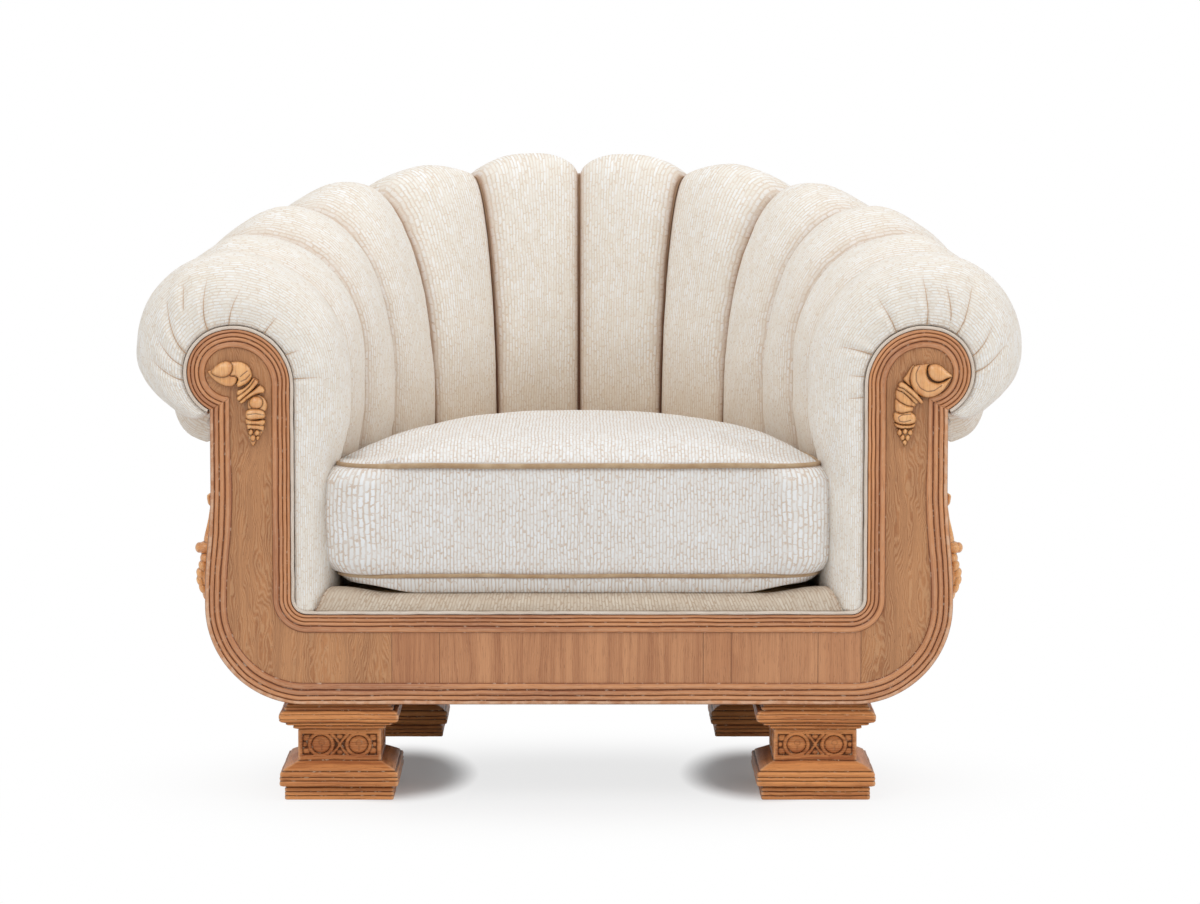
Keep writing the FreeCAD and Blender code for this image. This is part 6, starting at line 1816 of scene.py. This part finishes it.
def side_carving(side):
    """Loop, stem, bulb and scalloped leaf on the outer edge of an arm facing."""
    store = Skin()
    y = REEDING_DEPTH + BOARD_DEPTH + 30.0

    def bead(z, out, wide, deep, tall, tilt=0.0):
        lump(store, (side * (face_x(z) + out), y, z), (wide, deep, tall), tilt)

    def rib(points, radius):
        path = np.array([(side * (face_x(z) + out), y + back, z) for z, out, back in points], float)
        path = resample(path, max(12, int(lengths_along(path)[-1] / 1.2)))
        radius = np.interp(np.linspace(0, 1, len(path)), np.linspace(0, 1, len(radius)), radius)
        tube(store, path, radius, 12, normal=(0.3, -1.0, 0.0))

    def clean(co):
        """Draws points that lie inside the wood out to its face."""
        co[:, 0] = side * np.maximum(side * co[:, 0], face_x(co[:, 2]) + 0.75)
        return co

    bead(378.0, 2.4, 5.0, 8.0, 7.0)
    rib(((386.0, 1.6, -6.0), (382.0, 6.8, -8.0), (373.0, 5.6, -4.0), (366.0, 1.6, 3.0)),
        (1.4, 2.2, 2.2, 1.4))
    rib(((372.0, 1.6, 0.0), (352.0, 3.0, -1.0), (330.0, 4.6, 0.0)), (2.8, 3.4, 5.2))
    rib(((356.0, 3.4, -5.0), (349.0, 5.2, -3.0), (342.0, 3.2, -4.0)), (1.0, 1.8, 1.0))
    bead(326.0, 4.0, 6.0, 10.0, 8.0)
    bead(316.0, 6.6, 11.6, 12.5, 8.0, -12.0 * side)
    bead(315.4, 14.6, 5.4, 9.0, 6.8)
    bead(302.0, 5.4, 7.4, 12.0, 8.0)
    for z, out, wide in ((292.0, 8.6, 5.4), (283.0, 10.8, 5.6), (273.5, 10.6, 5.2), (264.0, 7.6, 4.8)):
        for back in (-9.0, 0.0, 9.0):
            lump(store, (side * (face_x(z) + out - abs(back) * 0.12), y + back, z), (wide, 5.4, 7.2),
                 -28.0 * side, 14)
    bead(278.5, 4.4, 10.0, 14.0, 22.0)
    rib(((299.0, 7.6, -6.0), (280.0, 13.0, -8.0), (256.0, 5.0, -4.0)), (1.6, 2.2, 1.2))
    bead(259.0, 2.6, 5.6, 9.0, 11.0)
    return grown("side_carved_" + SIDES[side], store, clean, "side_carving_" + SIDES[side])


# Everything is made here.

for number in range(2, 12):
    channel_cover(number)
threads = Skin()
for side in SIDES:
    arm_front_cover(side, threads)
seam_cords()
settle(threads.build("pleat_threads", PLEAT_THREAD), "chair", "piping")
reeded_band("reeding_inside", inner_half, INNER_REEDING, OUTER_REEDING, (4.4, 5.0, 5.2, 8.4),
            "inner_reeding", False)
reeded_band("reeding_outside", outer_half, OUTER_REEDING, INNER_REEDING, (5.4, 6.2, 7.0, 8.8),
            "outer_reeding", True)
veneer_field()
frame_piping()
seat_cushion()
deck_border()
slab("deck_cloth_cover", -DECK_INSET, CHANNEL_FOOT - 0.3, DECK_TOP, BURLAP, "burlap_jute", "deck_cover", 0.2)
slab("deck_padding", PAD, PAD_LOW, PAD_HIGH, WADDING, "padding", "deck_pad", 0.6)
outside_cover("outside_arm_cover_left", -ARM_COVER_END, -BACK_COVER_END - HALF_GAP, "outside_arm_left", 61)
outside_cover("outside_arm_cover_right", BACK_COVER_END + HALF_GAP, ARM_COVER_END, "outside_arm_right", 62)
outside_cover("outside_back_cover", HALF_GAP - BACK_COVER_END, BACK_COVER_END - HALF_GAP, "outside_back", 63)
roll_edge()
for side in SIDES:
    stile_cord(side)
# Middle of each foot, how much deeper than wide it is, and whether its carving is seen.
FRONT_FOOT_Y, REAR_FOOT_Y = 2.0 + 171.0 / 2, 488.0 + 136.0 / 2
FEET = (("front_left", -302.3, FRONT_FOOT_Y, 21.0, True), ("front_right", 298.4, FRONT_FOOT_Y, 21.0, True),
        ("rear_left", -256.0, REAR_FOOT_Y, -14.0, False), ("rear_right", 256.0, REAR_FOOT_Y, -14.0, False))
for index, foot in enumerate(FEET):
    carved_foot(*foot, 80 + 5 * index)
for side in SIDES:
    head_carving(side)
    side_carving(side)

# Solids that stay as they are and only take a material.
KEPT = {
    "arm_facing_left": BOARD_OAKS["z"], "arm_facing_right": BOARD_OAKS["z"], "front_rail": BOARD_OAKS["x"],
    "side_band_left": BOARD_OAKS["y"], "side_band_right": BOARD_OAKS["y"], "back_band": BOARD_OAKS["x"],
    "side_stile_left": BOARD_OAKS["z"], "side_stile_right": BOARD_OAKS["z"],
    "seat_rail_front": CARCASS_WOOD, "seat_rail_back": CARCASS_WOOD, "seat_rail_left": CARCASS_WOOD,
    "seat_rail_right": CARCASS_WOOD, "arm_post_left": CARCASS_WOOD, "arm_post_right": CARCASS_WOOD,
    "top_rail_left": CARCASS_WOOD, "top_rail_right": CARCASS_WOOD, "stays": CARCASS_WOOD,
    "foot_blocks": CARCASS_WOOD, "tub_lining": BURLAP, "roll_core_left": WADDING, "roll_core_right": WADDING,
    "webbing": JUTE, "burlap": BURLAP, "dust_cover": BLACK_CLOTH, "hanger_bolts": ZINC, "glides": GLIDE,
}
for name, material in KEPT.items():
    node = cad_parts[name]
    if not node.material_slots:
        node.data.materials.append(material)
    for slot in node.material_slots:
        slot.link = "OBJECT"
        slot.material = material


# Floor, light and camera

FLOOR_HALF = 20.0
# How dark the shadows are under the chair and at its feet: painted shadow patches that also show the real
# shadow.
SHADOW_SHARE, SHADOW_FEET = 0.24, 0.85


def floor():
    """A pale floor that the camera sees white, with a soft shadow round the feet, partly painted and partly
    real.
    """
    p = Paint("studio_floor")
    where = p.object_map()
    patch = p.noise(where, 0.7, 2.0)
    colour = p.mix(p.span(patch, 0.3, 0.7), linear(250, 250, 251), linear(246, 247, 248))
    p.put(p.shader.inputs["Base Color"], colour)
    p.shader.inputs["Roughness"].default_value = 0.35
    p.shader.inputs["Specular IOR Level"].default_value = 0.5

    def spot(centre, reach, near, far, most):
        """A soft patch round a place on the floor."""
        moved = p.vector_math("SUBTRACT", i0=where, i1=(centre[0], FRONT_Y + centre[1], 0.0))
        sized = p.vector_math("MULTIPLY", i0=moved, i1=(1 / reach[0], 1 / reach[1], 0.0))
        fall = p.span(p.vector_math("LENGTH", 1, i0=sized), near, far, 1.0, 0.0)
        return p.math("MULTIPLY", p.math("MULTIPLY", fall, fall), most)

    # Painted shadow: inside these patches the floor keeps its lit shading in place of the white glow, so it
    # greys even where no light is blocked.
    share = spot((0.0, 0.12), (0.62, 0.42), 0.35, 1.3, SHADOW_SHARE)
    for x in (-0.232, 0.232):
        share = p.math("MAXIMUM", share, spot((x, 0.20), (0.13, 0.27), 0.45, 1.15, SHADOW_FEET))
    seen = p.node("ShaderNodeLightPath")
    glow = p.node("ShaderNodeEmission", Color=(1.0, 1.0, 1.0, 1.0), Strength=1.0)
    keep = p.math("SUBTRACT", 1.0, p.math("MULTIPLY", seen, p.math("SUBTRACT", 1.0, share)))
    mixed = p.node("ShaderNodeMixShader", i0=keep, i1=glow, i2=p.shader.outputs[0])
    p.tree.links.new(mixed, p.out.inputs[0])
    mesh = bpy.data.meshes.new("floor")
    work = bmesh.new()
    bmesh.ops.create_grid(work, x_segments=8, y_segments=8, size=FLOOR_HALF)
    work.to_mesh(mesh)
    work.free()
    add_object("floor", mesh, p.material)


def area(name, place, target, size, power, colour=(1.0, 1.0, 1.0)):
    """A rectangular light that looks at a place."""
    light = bpy.data.lights.new(name, "AREA")
    light.shape = "RECTANGLE"
    light.size, light.size_y = size
    light.energy = power
    light.color = colour
    holder = bpy.data.objects.new(name, light)
    bpy.context.scene.collection.objects.link(holder)
    holder.location = place
    holder.rotation_mode = "QUATERNION"
    holder.rotation_quaternion = (Vector(target) - Vector(place)).to_track_quat("-Z", "Y")


def surroundings():
    """Soft light from all round, and plain white where the camera sees past the floor."""
    world = bpy.data.worlds.new("studio")
    world.use_nodes = True
    bpy.context.scene.world = world
    tree = world.node_tree
    tree.nodes.clear()
    out = tree.nodes.new("ShaderNodeOutputWorld")
    choose = tree.nodes.new("ShaderNodeMixShader")
    path = tree.nodes.new("ShaderNodeLightPath")
    tree.links.new(path.outputs["Is Camera Ray"], choose.inputs[0])
    for index, (colour, strength) in enumerate((((0.97, 0.985, 1.0, 1.0), 0.62),
                                                ((1.0, 1.0, 1.0, 1.0), 1.0))):
        light = tree.nodes.new("ShaderNodeBackground")
        light.inputs[0].default_value = colour
        light.inputs[1].default_value = strength
        tree.links.new(light.outputs[0], choose.inputs[index + 1])
    tree.links.new(choose.outputs[0], out.inputs[0])


# The camera's lens and shift, its place and how far it looks down, fitted to the photograph.
LENS, SHIFT = 125.5, 0.0175
CAMERA_DISTANCE, CAMERA_HEIGHT, CAMERA_DOWN = 5.2, 0.94514, 5.52


def add_camera():
    """The photograph's viewpoint."""
    data = bpy.data.cameras.new("camera")
    data.lens = LENS
    data.sensor_width = 36.0
    data.shift_x = SHIFT
    data.clip_end = 100.0
    camera = bpy.data.objects.new("camera", data)
    bpy.context.scene.collection.objects.link(camera)
    camera.location = (0.0, FRONT_Y - CAMERA_DISTANCE, CAMERA_HEIGHT)
    camera.rotation_euler = (math.radians(90.0 - CAMERA_DOWN), 0.0, 0.0)
    bpy.context.scene.camera = camera
    bpy.context.scene.view_settings.view_transform = "Standard"


floor()
area("key", (-1.5, -2.4, 3.2), (0.0, 0.0, 0.5), (2.4, 1.8), 35.0, (1.0, 0.99, 0.975))
area("fill", (3.0, -1.7, 2.3), (0.0, 0.0, 0.5), (2.4, 2.0), 30.0, (0.99, 0.99, 1.0))
area("top", (0.0, 0.2, 3.4), (0.0, 0.0, 0.4), (3.0, 2.4), 24.0)
surroundings()
add_camera()
